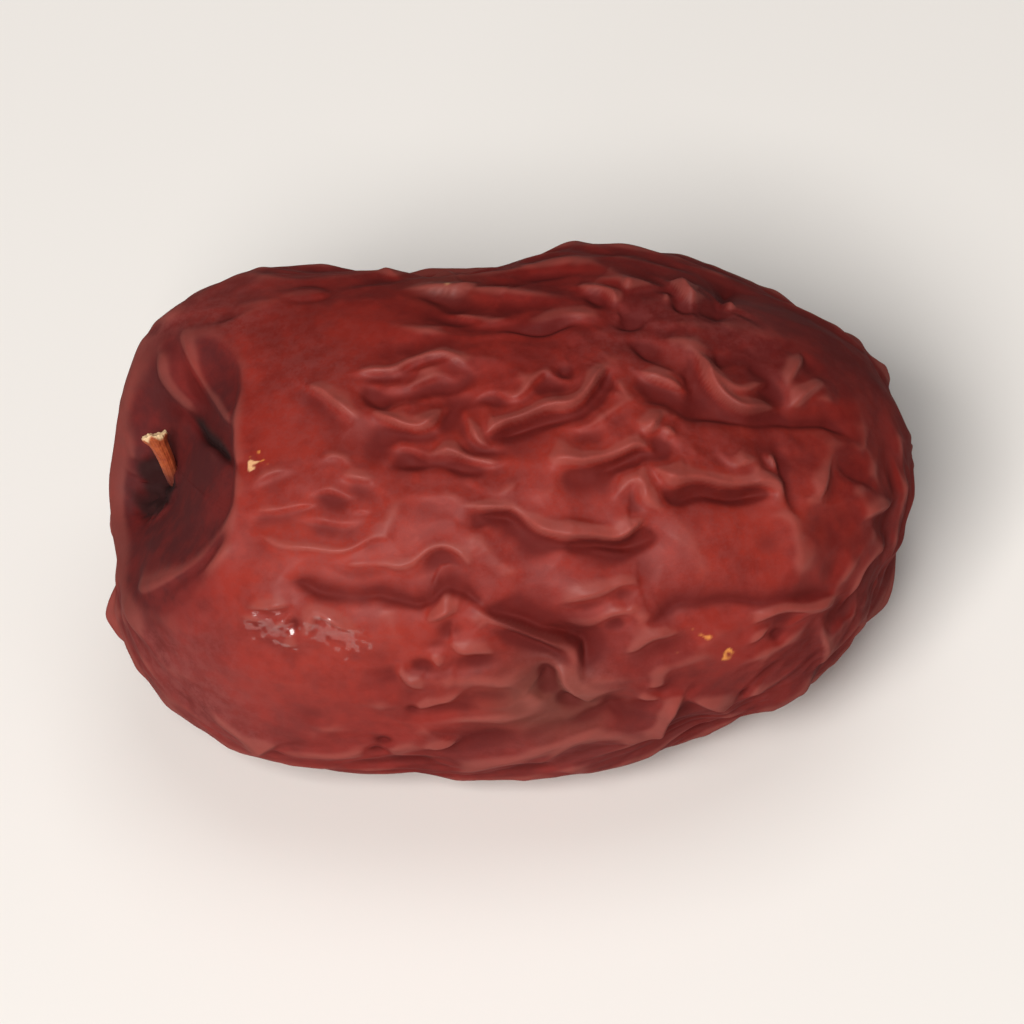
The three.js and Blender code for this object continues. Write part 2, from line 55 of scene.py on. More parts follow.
# Broad lobes and dents: x, angle, size, height
LOBES = [
    (-17.5, 130, 4.5, 1.3), (-3.2, 139, 3.4, -2.0), (6.5, 139, 3.5, -0.15), (17.0, 135, 5.0, -0.7),
    (21.0, -30, 5.0, -2.0), (12.5, -41, 4.0, -1.5), (-21.5, -10, 4.0, -0.6), (-21.0, -60, 3.5, 0.6),
    (19.0, -55, 3.0, 0.5), (9.8, -26, 1.9, -0.8), (14.8, -27, 1.8, 0.55), (19.6, -12, 1.4, 0.45),
    (22.2, 40, 2.5, 0.3), (-9.0, -38, 3.2, -0.55), (-5.5, -30, 1.6, -0.5), (-22.45, 115, 2.2, 0.55),
    (-22.3, 150, 3.5, -0.7), (-21.6, 6, 1.1, 0.35), (13.5, 128, 2.2, -0.6),
    (22.35, -110, 1.3, -0.9),
]

# The stalk pit
PIT_AXIS = np.array([-0.75, -0.12, 0.65]) / np.linalg.norm([-0.75, -0.12, 0.65])
PIT_MIDDLE = np.array([-18.96, -2.5, 6.7])
PIT_RIM = 7.3
PIT_DEPTH = 4.2
RIM_SWAYS = [(0.16, 70.0, 45.0), (-0.14, 4.0, 38.0)]  # the rim's reach: share, clock, spread
CLIFF_HEIGHT = 0.35
CLIFF_RUN = (-0.25, 0.75)  # mm inside the rim
CLIFF_FOOT = 0.5  # level
RIM_SOFTNESS = (0.42, 0.24)  # soft side, crisp side
CRISP_CLOCK = -10.0
CRISP_SPREAD = (-0.2, 0.8)  # cosines of the angle from it
PIT_REACH = 6.0  # mm behind the pit's middle; points further back get the far level
FAR_LEVEL = 9.0
STALK_FOOT = (-21.75, 93.0)
HOLLOW = {"level": 0.45, "clock": 165.0, "size": 0.95, "depth": 0.75}
# The crater's dark brown is deepened with painted shade
CRATER = {"away": np.array([-0.45, -0.4]), "size": 1.9}  # dark crinkled ground beside the foot

# The stalk stub
STALK_LEAN = np.array([-0.25, 0.04, 1.19]) / np.linalg.norm([-0.25, 0.04, 1.19])
STALK_LENGTH = 4.2

# Main folds of the skin: height, width, and the route as x, angle
CRESTS = [
    (0.55, 0.80, [(-11.2, 86.5), (-10, 82.5), (-9.2, 79), (-8.3, 76.5), (-7.4, 75)]),
    (0.40, 0.38, [(-8.9, 87), (-7.5, 86.3), (-6.2, 86.2), (-5.2, 88.3), (-4, 89), (-2.8, 87.5),
                  (-1.7, 84.8)]),
    (0.30, 0.38, [(-8.8, 85.5), (-7.9, 83.5), (-6.5, 82), (-5.2, 82.2), (-4, 84), (-2.8, 83.6),
                  (-1.7, 84.8)]),
    (0.25, 0.90, [(-7.8, 85), (-5, 85.5), (-2.8, 85.5)]),
    (0.50, 0.35, [(-7.4, 77.3), (-6.2, 74.3), (-5.6, 72.6), (-5, 72), (-4.3, 73.2), (-3.5, 75.5),
                  (-2.6, 77.2)]),
    (0.45, 0.30, [(-7.2, 68.5), (-5.5, 67), (-4.5, 66), (-3.5, 66.4), (-2.5, 64.7), (-2, 63.6),
                  (-1, 62.5), (0.3, 62)]),
    (0.40, 0.35, [(-2.2, 77.3), (-2.1, 73), (-2.0, 70), (-1.6, 67.3), (-0.8, 66.3), (0.3, 67)]),
    (0.65, 0.32, [(-1.8, 68.8), (-1.2, 69.5), (-0.5, 71.2), (0.3, 72.8), (1.2, 73.5), (2.2, 74),
                  (3.2, 74.5), (3.9, 75.8), (4.5, 78.3), (4.9, 81.3), (5.3, 83.8), (6, 84.2)]),
    (0.35, 0.45, [(-2.1, 76), (-1.3, 78.4), (-0.5, 79), (0.3, 77.7), (1, 78), (1.6, 81), (2.2, 83.2),
                  (2.9, 81.7), (3.6, 80.6), (4.4, 83)]),
    (0.40, 0.50, [(-3.6, 104.6), (-2.5, 103), (-1.5, 101.5), (-0.6, 99.6), (0.5, 99.2)]),
    (0.35, 0.30, [(-5.6, 113.3), (-4.5, 113), (-3.2, 112.5), (-2.4, 111.5), (-1.6, 112.8),
                  (-1.1, 115.5)]),
    (0.35, 0.40, [(-6.9, 127), (-6.2, 124), (-5.3, 119.5)]),
    (0.30, 0.30, [(-3.2, 59.8), (-2, 58.6), (-1, 56.7), (0, 57), (0.7, 59.2), (1.4, 60.2)]),
    (0.65, 0.30, [(-3.1, 54.6), (-2, 54), (-1, 53.6), (0, 53.4), (0.8, 51), (1.5, 48.3), (2.5, 46.7),
                  (4, 46.1), (5.3, 45.8), (6.1, 47), (7, 49.3), (7.9, 51.3)]),
    (0.35, 0.60, [(-10.3, 43.2), (-8.5, 43), (-7.2, 42.2), (-6.2, 41.6), (-5.3, 43), (-4.4, 45.5),
                  (-3.6, 45.2), (-2.8, 42.5), (-2.5, 39.5), (-3.2, 38.3)]),
    (0.60, 0.30, [(-1.9, 31.5), (-1, 29), (0, 26.6), (1, 24.2), (2, 21.8), (2.9, 19.6)]),
    (0.45, 0.60, [(-5.2, 29), (-4.2, 31), (-3.3, 31.8), (-2.9, 30.3)]),
    (0.45, 0.40, [(-3.9, 27), (-3.8, 24.5), (-3.4, 22.3), (-2.9, 21), (-2, 20.6), (-1.2, 20.4),
                  (-0.4, 21)]),
    (0.30, 0.50, [(-5.1, 22.5), (-4.6, 19.5), (-4.3, 17)]),
    (0.30, 0.50, [(-6.3, 20.5), (-6.5, 16), (-5.9, 12.8), (-5.0, 12)]),
    (0.25, 0.35, [(-6.6, 4.8), (-5.6, 5), (-4.8, 7), (-3.9, 8), (-3.2, 10.5), (-2.3, 12.2)]),
    (0.30, 0.30, [(-5.7, -11.7), (-4.7, -11), (-4, -10), (-3.6, -7.8)]),
    (0.50, 0.35, [(0.9, 17.3), (1.6, 16.6), (2.1, 14.5), (2.4, 11.5), (3.1, 8), (3.7, 4.5), (4.1, 1)]),
    (0.30, 0.60, [(2, 70), (4, 69.6), (5.2, 71.6), (6, 73.2), (6.8, 75.6), (7.6, 76.6), (8.6, 76)]),
    (0.55, 0.30, [(1.8, 64.3), (3, 62), (4, 60.9), (5, 62.3), (6, 63.9), (6.9, 65.1), (7.6, 63.9),
                  (8.1, 62)]),
    (0.50, 0.50, [(8.8, 75.5), (8.2, 72), (7.7, 68.5), (7.2, 65.8)]),
    (0.35, 0.45, [(8.2, 72), (8.8, 68.5), (9.6, 68.6)]),
    (0.60, 0.32, [(7.1, 61.5), (7.8, 59.3), (8.5, 57.8), (9.5, 57.1), (10.5, 56.7), (12, 56.8),
                  (13.4, 56), (15, 56.2)]),
    (0.45, 0.45, [(5.2, 53.5), (5.9, 55.2), (6.6, 56.9), (7.1, 55.8), (7.4, 53.7), (8, 52.3),
                  (9, 51.5)]),
    (0.50, 0.60, [(7, 84.7), (8, 82.4), (9, 80.7), (10, 79.2), (10.7, 79.8)]),
    (0.70, 0.50, [(10.1, 91), (10.8, 87), (11.2, 82.5), (11.8, 78.5), (12.5, 75.8), (13.2, 74.9),
                  (14.2, 75.4), (15.2, 76.8)]),
    (0.55, 0.70, [(15.2, 76.8), (16, 79.5), (16.6, 82.5), (17.3, 85.5), (18, 88.5)]),
    (0.35, 0.45, [(11.9, 82.5), (12.8, 80.2), (13.5, 79.9), (14.3, 82.3), (14.9, 86)]),
    (0.30, 0.30, [(1.8, 98), (3, 98.6), (4.3, 98.9), (5, 99.5), (6, 99)]),
    (0.45, 0.40, [(4, 110.5), (5, 108.2), (6, 107.2), (6.7, 104.7), (7.2, 102.8)]),
    (0.35, 0.35, [(6.7, 113.5), (7, 110), (7.5, 107)]),
    (0.65, 0.30, [(9.0, 117.8), (9.7, 113.7), (10.2, 110.2), (10.7, 108.2), (11.2, 109), (12.1, 111)]),
    (0.40, 0.30, [(9.1, 111.5), (9.2, 108), (9.3, 104)]),
    (0.35, 0.30, [(12.5, 108.5), (13.2, 111.5)]),
    (0.40, 0.40, [(1.9, 31), (2.8, 32.4), (4, 33.1), (5, 34.6), (5.8, 35.9), (6.7, 35.5), (7.3, 33.6)]),
    (0.35, 0.35, [(1.9, 29.3), (2.6, 28), (3.5, 26.6), (4.3, 27.1), (5.2, 29.1), (6.2, 29.6),
                  (7.2, 30)]),
    (0.25, 0.25, [(3.6, 43.2), (5.2, 42.1), (6.7, 41.5)]),
    (0.35, 0.45, [(4.8, 18.3), (6.2, 19), (7.2, 21.2), (8.3, 21.6), (9.3, 23.7)]),
    (0.45, 0.80, [(12.2, 20.5), (13.5, 22.6), (15, 22), (16, 20.2), (17, 18), (17.6, 15.5)]),
    (0.35, 0.40, [(12.4, 15), (13.2, 17), (13.7, 18), (13.6, 14.5)]),
    (0.30, 0.25, [(5.9, 3.9), (6.8, 3.4), (8.1, 4)]),
    (0.25, 0.30, [(6.5, 8), (8.3, 8)]),
    (0.60, 0.40, [(9.1, 4.5), (8.5, 1), (8.2, -3), (7.9, -8), (7.5, -14), (7.1, -19.5)]),
    (0.45, 0.50, [(8.8, 1.5), (9.7, -1), (10.5, -6), (11.3, -12)]),
    (0.45, 0.45, [(16.3, 97), (16.1, 92), (15.7, 86), (15.3, 80.5)]),
    (0.40, 0.80, [(16.2, 79), (17.5, 81.5), (18.7, 81)]),
    (0.35, 0.45, [(14.2, 64), (14.7, 61), (15, 57)]),
    (0.35, 0.60, [(17.7, 65), (17.6, 60), (17.3, 55), (16.6, 49)]),
    (0.30, 0.50, [(12.2, 67), (11.8, 63.5), (12.4, 61.2), (13.5, 62), (14.4, 60.3)]),
    (0.40, 0.35, [(19, 42.3), (20, 45), (21, 47.3), (21.6, 50.5)]),
    (0.40, 0.45, [(18.4, 11), (19.1, 17.5), (19.5, 22), (20.3, 26), (21.3, 27.5)]),
    (0.35, 0.45, [(17.3, 11), (17.1, 5), (17.2, -5), (17.3, -16)]),
    # fine lengthwise folds beside the pit
    (0.22, 0.28, [(-14.8, 56.3), (-13, 55.6), (-11, 56.6), (-9.8, 57)]),
    (0.22, 0.28, [(-12.6, 53.6), (-10, 52.9), (-8.5, 51.9), (-7.2, 51.6)]),
    (0.28, 0.35, [(-14.7, 51), (-13.3, 48.3), (-12, 47.4), (-10, 46.6), (-8, 47.4), (-6, 46.7)]),
    (0.22, 0.28, [(-11.5, 58.3), (-10, 59.6), (-8.6, 57.1), (-7.6, 55.8)]),
    (0.20, 0.28, [(-9.8, 55.1), (-8.5, 54.1), (-7.3, 52.9)]),
    (0.22, 0.30, [(-11, 66.5), (-9.4, 66.7), (-8.6, 64.5), (-7.9, 62.5)]),
    (0.20, 0.28, [(-9.7, 62.4), (-8.2, 61.4), (-6.8, 61.8)]),
    (0.20, 0.35, [(-14.3, 62), (-13.2, 64.5), (-11.5, 65)]),
    # crinkles of the glossy patch
    (0.35, 0.25, [(-14.9, 32.2), (-13.6, 33.3), (-12.4, 33.6), (-12.1, 32.4)]),
    (0.28, 0.30, [(-12.3, 32.8), (-12.8, 29.5), (-13.5, 27.2), (-14.5, 26.2)]),
    (0.38, 0.28, [(-12.0, 24.8), (-11.6, 27), (-11.2, 29.3), (-10.9, 31.2), (-10, 30.2), (-9.2, 28.6),
                  (-8.3, 27)]),
    (0.28, 0.28, [(-13.4, 23.4), (-12.4, 22.4), (-11.6, 23.4)]),
    (0.18, 0.22, [(-11, 28), (-10.4, 27.4), (-9.6, 27.3)]),
    (0.20, 0.28, [(-15.5, 30), (-14.5, 29.5), (-13.6, 29), (-12.9, 29)]),
    (0.50, 0.30, [(-13.3, -16.5), (-14.2, -19.5), (-14.6, -23), (-14.9, -28.5)]),
]

# Creases, sunk by their first number
CREASES = [
    (0.45, 0.38, [(-8.7, 83), (-7.6, 80), (-6.8, 78), (-6, 76.2), (-5.3, 75.3)]),
    (0.50, 0.42, [(-7.2, 64.2), (-5.6, 63.6), (-4.2, 64.2), (-3.1, 62.7), (-2.1, 61), (-0.8, 59.7)]),
    (0.45, 0.32, [(-3, 70.5), (-2.7, 67.3), (-2.1, 65.3), (-1, 65), (0.2, 64.6)]),
    (0.70, 0.32, [(-0.8, 96.8), (0.3, 95.5), (1.4, 95.1), (2.4, 95.6), (3.3, 96.9), (4.2, 97.2),
                  (5, 97)]),
    (0.55, 0.38, [(5.9, 98.3), (6.6, 97.5), (7.3, 98.3), (7.9, 100), (8.6, 101.3)]),
    (0.55, 0.32, [(-1.3, 68.9), (-0.4, 69.7), (0.5, 70.8), (1.5, 71.5), (2.6, 71.8), (3.8, 72.6)]),
    (0.35, 0.35, [(-3.4, 52.8), (-2.8, 50.3), (-2, 49.2), (-1, 50.5)]),
    (0.35, 0.30, [(-2.8, 52.4), (-1.5, 52), (-0.2, 51.4), (0.7, 49.3), (1.4, 46.7)]),
    (0.35, 0.50, [(1.5, 51), (3, 50.2), (4.5, 49.7), (5.8, 49.8)]),
    (0.70, 0.40, [(-12.9, 41.2), (-11.8, 38.4), (-10.8, 35.3), (-9.4, 34.6), (-8, 35.6), (-7, 34.2),
                  (-5.8, 33.1), (-4.9, 34.3), (-4, 36.5), (-3.1, 35.5), (-2, 33.4), (-1.1, 31)]),
    (1.30, 0.34, [(-2, 33.6), (-1.1, 31), (0, 28.6), (1, 26.3), (2, 24.9), (2.8, 23), (3.4, 20.8),
                  (3.6, 17), (3.5, 12)]),
    (0.60, 0.42, [(-1.6, 29.3), (-0.7, 26.2), (0.3, 23.3), (1.3, 20.6), (2.4, 17.7), (3.2, 14)]),
    (0.45, 0.35, [(4.4, 59.3), (5.5, 60.2), (6.4, 61.3), (7.2, 61.7)]),
    (0.60, 0.38, [(7.9, 56.3), (9, 53.8), (10.5, 53.5), (12.5, 53), (14, 53.1), (14.8, 54)]),
    (0.40, 0.40, [(11.3, 93.5), (11.7, 88.5), (12.1, 84)]),
    (0.60, 0.42, [(8.9, 75.7), (9.5, 73.7), (10.3, 72.7), (11.5, 72.2), (12.5, 72.4), (14, 72),
                  (15, 72.9), (16.8, 73.5), (18.5, 73), (19.3, 71.7)]),
    (0.40, 0.38, [(6.4, 93.5), (7.3, 91), (8.1, 88.2), (9, 86), (10, 84), (10.7, 81.8)]),
    (0.40, 0.32, [(4.4, 106), (5.4, 105.3), (6.3, 103.5)]),
    (0.45, 0.38, [(9.6, 110), (9.8, 106.5), (10.6, 105), (11.4, 104.5)]),
    (0.70, 0.55, [(13.3, 132), (13, 122), (12.6, 113), (12.1, 105), (11.5, 98.5)]),
    (0.45, 0.28, [(1.6, 45.2), (3, 44.4), (4.5, 43.7), (5.6, 43), (6.8, 43.1), (7.5, 44.4),
                  (8.4, 46.2)]),
    (0.55, 0.48, [(6.1, 25.7), (7.3, 25.2), (8.2, 27), (9, 28.8), (10, 28.6), (11.5, 28.1), (13, 27),
                  (14.3, 26), (16, 24.9), (17, 22.6), (17.7, 19.5)]),
    (0.50, 0.32, [(14.9, 67.5), (15.1, 62), (15.15, 56), (15.1, 51.5), (15.5, 47.5), (16, 45.5)]),
    (0.40, 0.75, [(18, 69), (18.4, 63), (19, 58), (20, 55), (20.8, 51)]),
    (0.35, 0.35, [(14.1, 17.5), (14.2, 14), (14.6, 10)]),
    (0.40, 0.50, [(12, -3.5), (12.8, -8.5)]),
    (0.15, 0.28, [(-12.2, 31.5), (-12.1, 28.5), (-12.6, 25.5)]),
    (0.30, 0.30, [(-16.1, 114), (-15, 113.2), (-13.8, 113.3)]),
    (0.28, 0.28, [(-11.8, 116), (-11.4, 119), (-10.4, 120), (-9.6, 118), (-9.6, 115), (-10.6, 112.8),
                  (-11.6, 113.6), (-11.8, 116)]),
    (0.30, 0.30, [(-5, 110.5), (-3.8, 110.3), (-2.6, 108.5), (-1.8, 107)]),
    (0.35, 0.60, [(4.7, 8), (4.8, 4), (5, -2), (5.6, -8)]),
]

# Small dents: x, angle, size, depth
DENTS = [
    (1.5, 14.3, 0.45, 0.45), (1.4, 8.7, 0.45, 0.3), (2.6, 4.6, 0.5, 0.45), (-7.8, -11, 0.4, 0.5),
    (-8.3, -15.5, 0.5, 0.5), (-6.1, 3.8, 0.25, 0.3), (3.2, 83, 0.35, 0.35),
]

# Folds on the pit's wall: height, width, and the route as level (0 foot, 1 rim), clock angle
PIT_CRESTS = [
    (0.65, 0.18, [(0.95, 88), (0.84, 85), (0.67, 79), (0.54, 64), (0.53, 41), (0.72, 8.5),
                  (0.92, -8), (1.0, -13)]),
    (0.55, 0.20, [(1.08, 80), (0.90, 71.5), (0.74, 58), (0.71, 43), (0.79, 26), (0.92, 10),
                  (1.0, -1)]),
    (0.50, 0.45, [(1.0, -30), (0.98, -40), (0.93, -52), (0.88, -68), (0.82, -88), (0.80, -110),
                  (0.82, -132)]),
    (0.32, 0.35, [(1.06, -43), (1.02, -55), (0.95, -70), (0.93, -86), (0.96, -100)]),
    (0.22, 0.30, [(0.85, 125), (0.60, 130), (0.35, 135)]),
]
PIT_CREASES = [
    (0.95, 0.16, [(0.48, 62), (0.49, 47), (0.55, 25), (0.75, 2), (0.90, -12), (0.99, -17)]),
    (0.25, 0.35, [(0.80, 72), (0.64, 58), (0.62, 40), (0.75, 16), (0.90, 2)]),
    (0.20, 0.30, [(0.95, -62), (0.91, -78), (0.89, -95)]),
]

# How a fold is shaped
CREST_GAIN, CREASE_GAIN = 1.3, 0.9
SHORT_FLANK, LONG_FLANK = 0.30, 3.0  # reach of a fold's crest in mm, and of its foot in widths
CREST_SHARE = 0.40
CREST_ROUND = 0.18
STEEPER = 0.55  # share that the flanks lose on the steep side
BED_SHARE, BED_AWAY = 0.45, 0.65  # bed beside the steep side: share of the height, mm from the crest
FOLD_REACH = 4  # a fold is worked out this many long flanks to each side
FOLD_STEP = 0.35
FOLD_TAPER, TAPER_SHARE = 2.0, 0.45  # in mm, and at most this share of the fold
FOLD_END_SHARE = 0.15
JOIN_POWER = 4
GIRTH_MM_PER_DEGREE = 0.24
WOBBLE = {"seed": 90, "count": 12, "lengths": (2.6, 4.5)}  # small wanderings of the folds
WOBBLE_SIZE = 0.10

# Seeded wrinkles: crests along the zero lines of sums of waves
HIDDEN_WRINKLES = [
    {"seed": 21, "lengths": (7, 11), "stretch": 2.2, "width": 0.42, "height": 0.95},
    {"seed": 35, "lengths": (5, 9), "stretch": 1.6, "width": 0.36, "height": 0.60},
]
OPEN_WRINKLES = [
    {"seed": 52, "lengths": (6, 10), "stretch": 1.9, "width": 0.42, "height": 0.30},
    {"seed": 71, "lengths": (4, 7), "stretch": 1.5, "width": 0.32, "height": 0.16},
]
CRATER_WRINKLES = [
    {"seed": 17, "lengths": (1.2, 2.2), "stretch": 1.0, "width": 0.16, "height": 0.42},
    {"seed": 29, "lengths": (0.8, 1.4), "stretch": 1.0, "width": 0.10, "height": 0.22},
]
GLOSS_WRINKLES = [
    {"seed": 61, "lengths": (1.6, 2.8), "stretch": 1.6, "width": 0.18, "height": 0.12},
    {"seed": 83, "lengths": (0.9, 1.5), "stretch": 1.3, "width": 0.10, "height": 0.06},
]
WRINKLE_WAVES = 18
FLAT_SLOPE, FULL_SLOPE = 0.15, 0.8  # slopes of the waves where a crest stops widening and is whole
HIDDEN_SUNK, OPEN_SUNK, CRATER_SUNK = 0.30, 0.12, 0.1  # sets each kind level with the skin round it
WRINKLES_FROM = (1.05, 1.4)  # pit levels over which the seeded wrinkles rise
FOLDS_CLEAR, FOLDS_CLEAR_AT = 0.8, 0.3  # share of them that a chosen fold of this height takes away

# Flat-sided crumple: crests where waves cross zero
FACETS = [
    {"seed": 13, "count": 10, "lengths": (4.0, 7.0), "stretch": 1.6, "height": 0.24},
    {"seed": 44, "count": 12, "lengths": (2.0, 3.6), "stretch": 1.4, "height": 0.04},
]
GLOSS_FACETS = {"seed": 31, "count": 10, "lengths": (1.4, 2.4), "stretch": 1.5, "height": 0.07}
FACET_ROUNDING = 0.01
FACETS_LIFT, GLOSS_LIFT = 0.16, 0.03
FACETS_FROM = (0.9, 1.3)

# Long swell, ripple and grain of the whole skin
SWELL = {"seed": 11, "count": 16, "lengths": (7, 14), "stretch": 1.4}
RIPPLE = {"seed": 47, "count": 20, "lengths": (2.6, 5.0), "stretch": 1.8}
GRAIN = {"seed": 63, "count": 24, "lengths": (1.2, 2.4), "stretch": 2.0}
SWELL_HEIGHT, RIPPLE_HEIGHT, GRAIN_HEIGHT = 0.10, 0.055, 0.008
HIDDEN_RIPPLE = 0.045  # what the ripple gains on the hidden side

SEEN_ANGLE = 50.0  # the side that is seen best
HIDDEN_FROM, HIDDEN_FULLY = 80.0, 112.0
SMOOTH_AREAS = [  # x, angle, size, share of the wrinkles that they lose
    (-9.5, 102, 4.5, 0.9), (-15, 14, 5.0, 0.9), (11, 40, 2.6, 0.9), (-13, 70, 3.0, 0.9),
    (19, 100, 4.0, 0.9), (14, 116, 3.0, 0.9),
]
SMOOTHEST = 0.9
SMOOTH_FACETS, SMOOTH_RIPPLE = 0.15, 0.3  # what a smooth area keeps of these
GLOSS_PATCH = [  # x, angle, size, strength
    (-14.1, 27.5, 0.55, 0.9), (-13.2, 27, 0.6, 1.0), (-12.9, 24.8, 0.45, 0.8),
    (-10.8, 28, 0.55, 0.9), (-9.8, 26.2, 0.6, 1.0), (-8.9, 24.4, 0.5, 0.8),
]
RESTING_SPOT = (9.0, 7.0)  # half length and half width
RESTING_FADE = 2.0  # the relief is back at this many times them

# Grid of the skin, and the pieces it is cut into, each an equal part of the columns
RINGS, COLUMNS = 560, 700
PROFILE_STEPS = 2001
FOCUS = 0.35  # how much closer the columns lie on the side that is seen
POLE_FADE = 1.5
SKIN_PIECES = ("front", "top", "back", "underside")
NEAR_EASING, FAR_EASING = (1, 2, 3, 4, 4, 4), (6, 6, 8, 8)  # steps, in points of the grid

# Linear congruential draw of the seeded waves
DRAW_FACTOR, DRAW_STEP, DRAW_RANGE = 1664525, 1013904223, 2**32

# The photograph's view: elevation, roll, distance to the fruit's middle, width of the frame there
VIEW_ELEVATION, VIEW_ROLL = 49.0, 3.1
VIEW_DISTANCE = 0.558
FRAME_WIDTH = 0.0572
SENSOR_WIDTH = 36.0
NEAREST_SEEN, FARTHEST_SEEN = 0.01, 10


def unit(v):
    """Vectors at length 1."""
    return v / np.linalg.norm(v, axis=-1, keepdims=True)


def rise(a, b, x):
    """Smooth step from 0 at a to 1 at b."""
    t = np.clip((x - a) / (b - a), 0, 1)
    return t * t * (3 - 2 * t)


def at_least(least, x):
    """x from 0 to 1, squeezed to run from the least to 1."""
    return least + (1 - least) * x


def plain_form(s):
    """Unit vectors to the plain form: a superellipsoid, its long profile of power END_POWER and its
    girth of power GIRTH_POWER, narrowed towards both ends by 1 - k t^2."""
    ring = np.hypot(s[..., 1], s[..., 2])
    t = np.sign(s[..., 0]) * np.abs(s[..., 0]) ** (2 / END_POWER)
    reach = ring ** (2 / END_POWER)
    v = np.arctan2(s[..., 2], -s[..., 1])
    girth = np.abs(np.cos(v)) ** GIRTH_POWER + np.abs(np.sin(v)) ** GIRTH_POWER
    reach = reach * girth ** (-1 / GIRTH_POWER)
    wide, high = [1 - np.where(t < 0, *NARROWING[way]) * t**2 for way in ("width", "height")]
    across = -WIDTH / 2 * wide * reach * np.cos(v)
    up = HEIGHT / 2 * high * reach * np.sin(v)
    return np.stack([t * LENGTH / 2, across, up], -1)


def outward(p):
    """Outward directions of the plain form, taken from the ellipsoid with its three sizes."""
    return unit(p / np.array([LENGTH, WIDTH, HEIGHT]) ** 2)


def direction_at(x, angle):
    """The unit vector whose point on the plain form lies at x, at this angle round the girth."""
    x, v = np.broadcast_arrays(np.asarray(x, float), np.radians(np.asarray(angle, float)))
    t = np.clip(x / (LENGTH / 2), -CLOSE_TO_POLE, CLOSE_TO_POLE)
    sx = np.sign(t) * np.abs(t) ** (END_POWER / 2)
    ring = np.sqrt(1 - sx**2)
    return np.stack([sx, -ring * np.cos(v), ring * np.sin(v)], -1)


def skin_place(x, angle):
    """The point of the plain form at x, at this angle round the girth."""
    return plain_form(direction_at(x, angle))


def spots(p, places):
    """Sum of round spots: each is x, angle, size and strength, and falls off as
    strength x exp(-d^2 / (2 size^2))."""
    total = np.zeros(p.shape[:-1])
    for x, angle, size, strength in places:
        total += strength * np.exp(-((p - skin_place(x, angle)) ** 2).sum(-1) / (2 * size**2))
    return total


def covered(p, places):
    """The spots as a share from 0 to 1."""
    return np.clip(spots(p, places), 0, 1)


# The pit's own plane: its two directions and the stalk's foot in it
PIT_RIGHT = unit(np.array([1.0, 0, 0]) - PIT_AXIS[0] * PIT_AXIS)
PIT_BACK = np.cross(PIT_AXIS, PIT_RIGHT)


def in_pit_plane(p):
    """Points seen along the pit's axis: how far they lie right and back of the pit's middle."""
    w = p - PIT_MIDDLE
    return np.stack([w @ PIT_RIGHT, w @ PIT_BACK], -1)


FOOT_IN_PIT = in_pit_plane(skin_place(*STALK_FOOT))


def on_pit_plane(level, clock):
    """The place in the pit's plane that has this level and clock angle."""
    a = np.radians(clock)
    return FOOT_IN_PIT * (1 - level) + level * PIT_RIM * np.array([np.cos(a), np.sin(a)])


def pit_place(p):
    """Where points lie in the pit. Its level circles slide from the stalk's foot (0) to the rim (1);
    the level solves |flat - foot (1 - level)| = level x rim. Also the clock angle round the pit,
    the reach from foot to rim that way, and the place in the pit's plane."""
    flat = in_pit_plane(p)
    g = flat - FOOT_IN_PIT
    gf = g @ FOOT_IN_PIT
    k = PIT_RIM**2 - FOOT_IN_PIT @ FOOT_IN_PIT
    level = (gf + np.sqrt(gf**2 + k * (g**2).sum(-1))) / k
    spoke = g + FOOT_IN_PIT * level[..., None]
    clock = np.arctan2(spoke[..., 1], spoke[..., 0])
    rim = PIT_RIM * np.stack([np.cos(clock), np.sin(clock)], -1)
    reach = np.linalg.norm(rim - FOOT_IN_PIT, axis=-1)
    turned = np.degrees(clock)
    level = level / (1 + sum(s * np.exp(-(((turned - a) / w) ** 2)) for s, a, w in RIM_SWAYS))
    level = np.where((p - PIT_MIDDLE) @ PIT_AXIS > -PIT_REACH, level, FAR_LEVEL)
    return level, clock, reach, flat


def crisp_side(clock):
    """1 where the rim is crisp, falling to 0 round the pit with the cosine of the clock angle."""
    return rise(*CRISP_SPREAD, np.cos(clock - np.radians(CRISP_CLOCK)))


def pit_shape(level, clock, reach, flat):
    """Sink along the pit's axis: a cone with a soft rim, a cliff inside the crisp side of the rim,
    and a round hollow beside the stalk that falls off as exp(-d^2 / (2 size^2))."""
    crisp = crisp_side(clock)
    inside = (1 - level) * reach
    softness = (RIM_SOFTNESS[0] + (RIM_SOFTNESS[1] - RIM_SOFTNESS[0]) * crisp) / reach
    cone = softness * np.logaddexp(0, (1 - level) / softness)
    cliff = CLIFF_HEIGHT * crisp * rise(*CLIFF_RUN, inside) * np.minimum(1, level / CLIFF_FOOT)
    middle = on_pit_plane(HOLLOW["level"], HOLLOW["clock"])
    hollow = HOLLOW["depth"] * np.exp(-((flat - middle) ** 2).sum(-1) / (2 * HOLLOW["size"] ** 2))
    return np.where(level < FAR_LEVEL, PIT_DEPTH * cone + cliff + hollow, 0)


def pinch(distance, width, lean=0.0):
    """Cross-section of a fold: a sharp crest exp(-d / short flank) on a broad foot exp(-d / long
    flank), the crest rounded over CREST_ROUND. Lean runs from -1, the gentle side, to 1, the steep
    side, where the flanks are shorter."""
    rounded = np.sqrt(distance**2 + CREST_ROUND**2) - CREST_ROUND
    rounded = rounded / (1 - STEEPER * lean)
    crest, foot = np.exp(-rounded / SHORT_FLANK), np.exp(-rounded / (LONG_FLANK * width))
    return CREST_SHARE * crest + (1 - CREST_SHARE) * foot


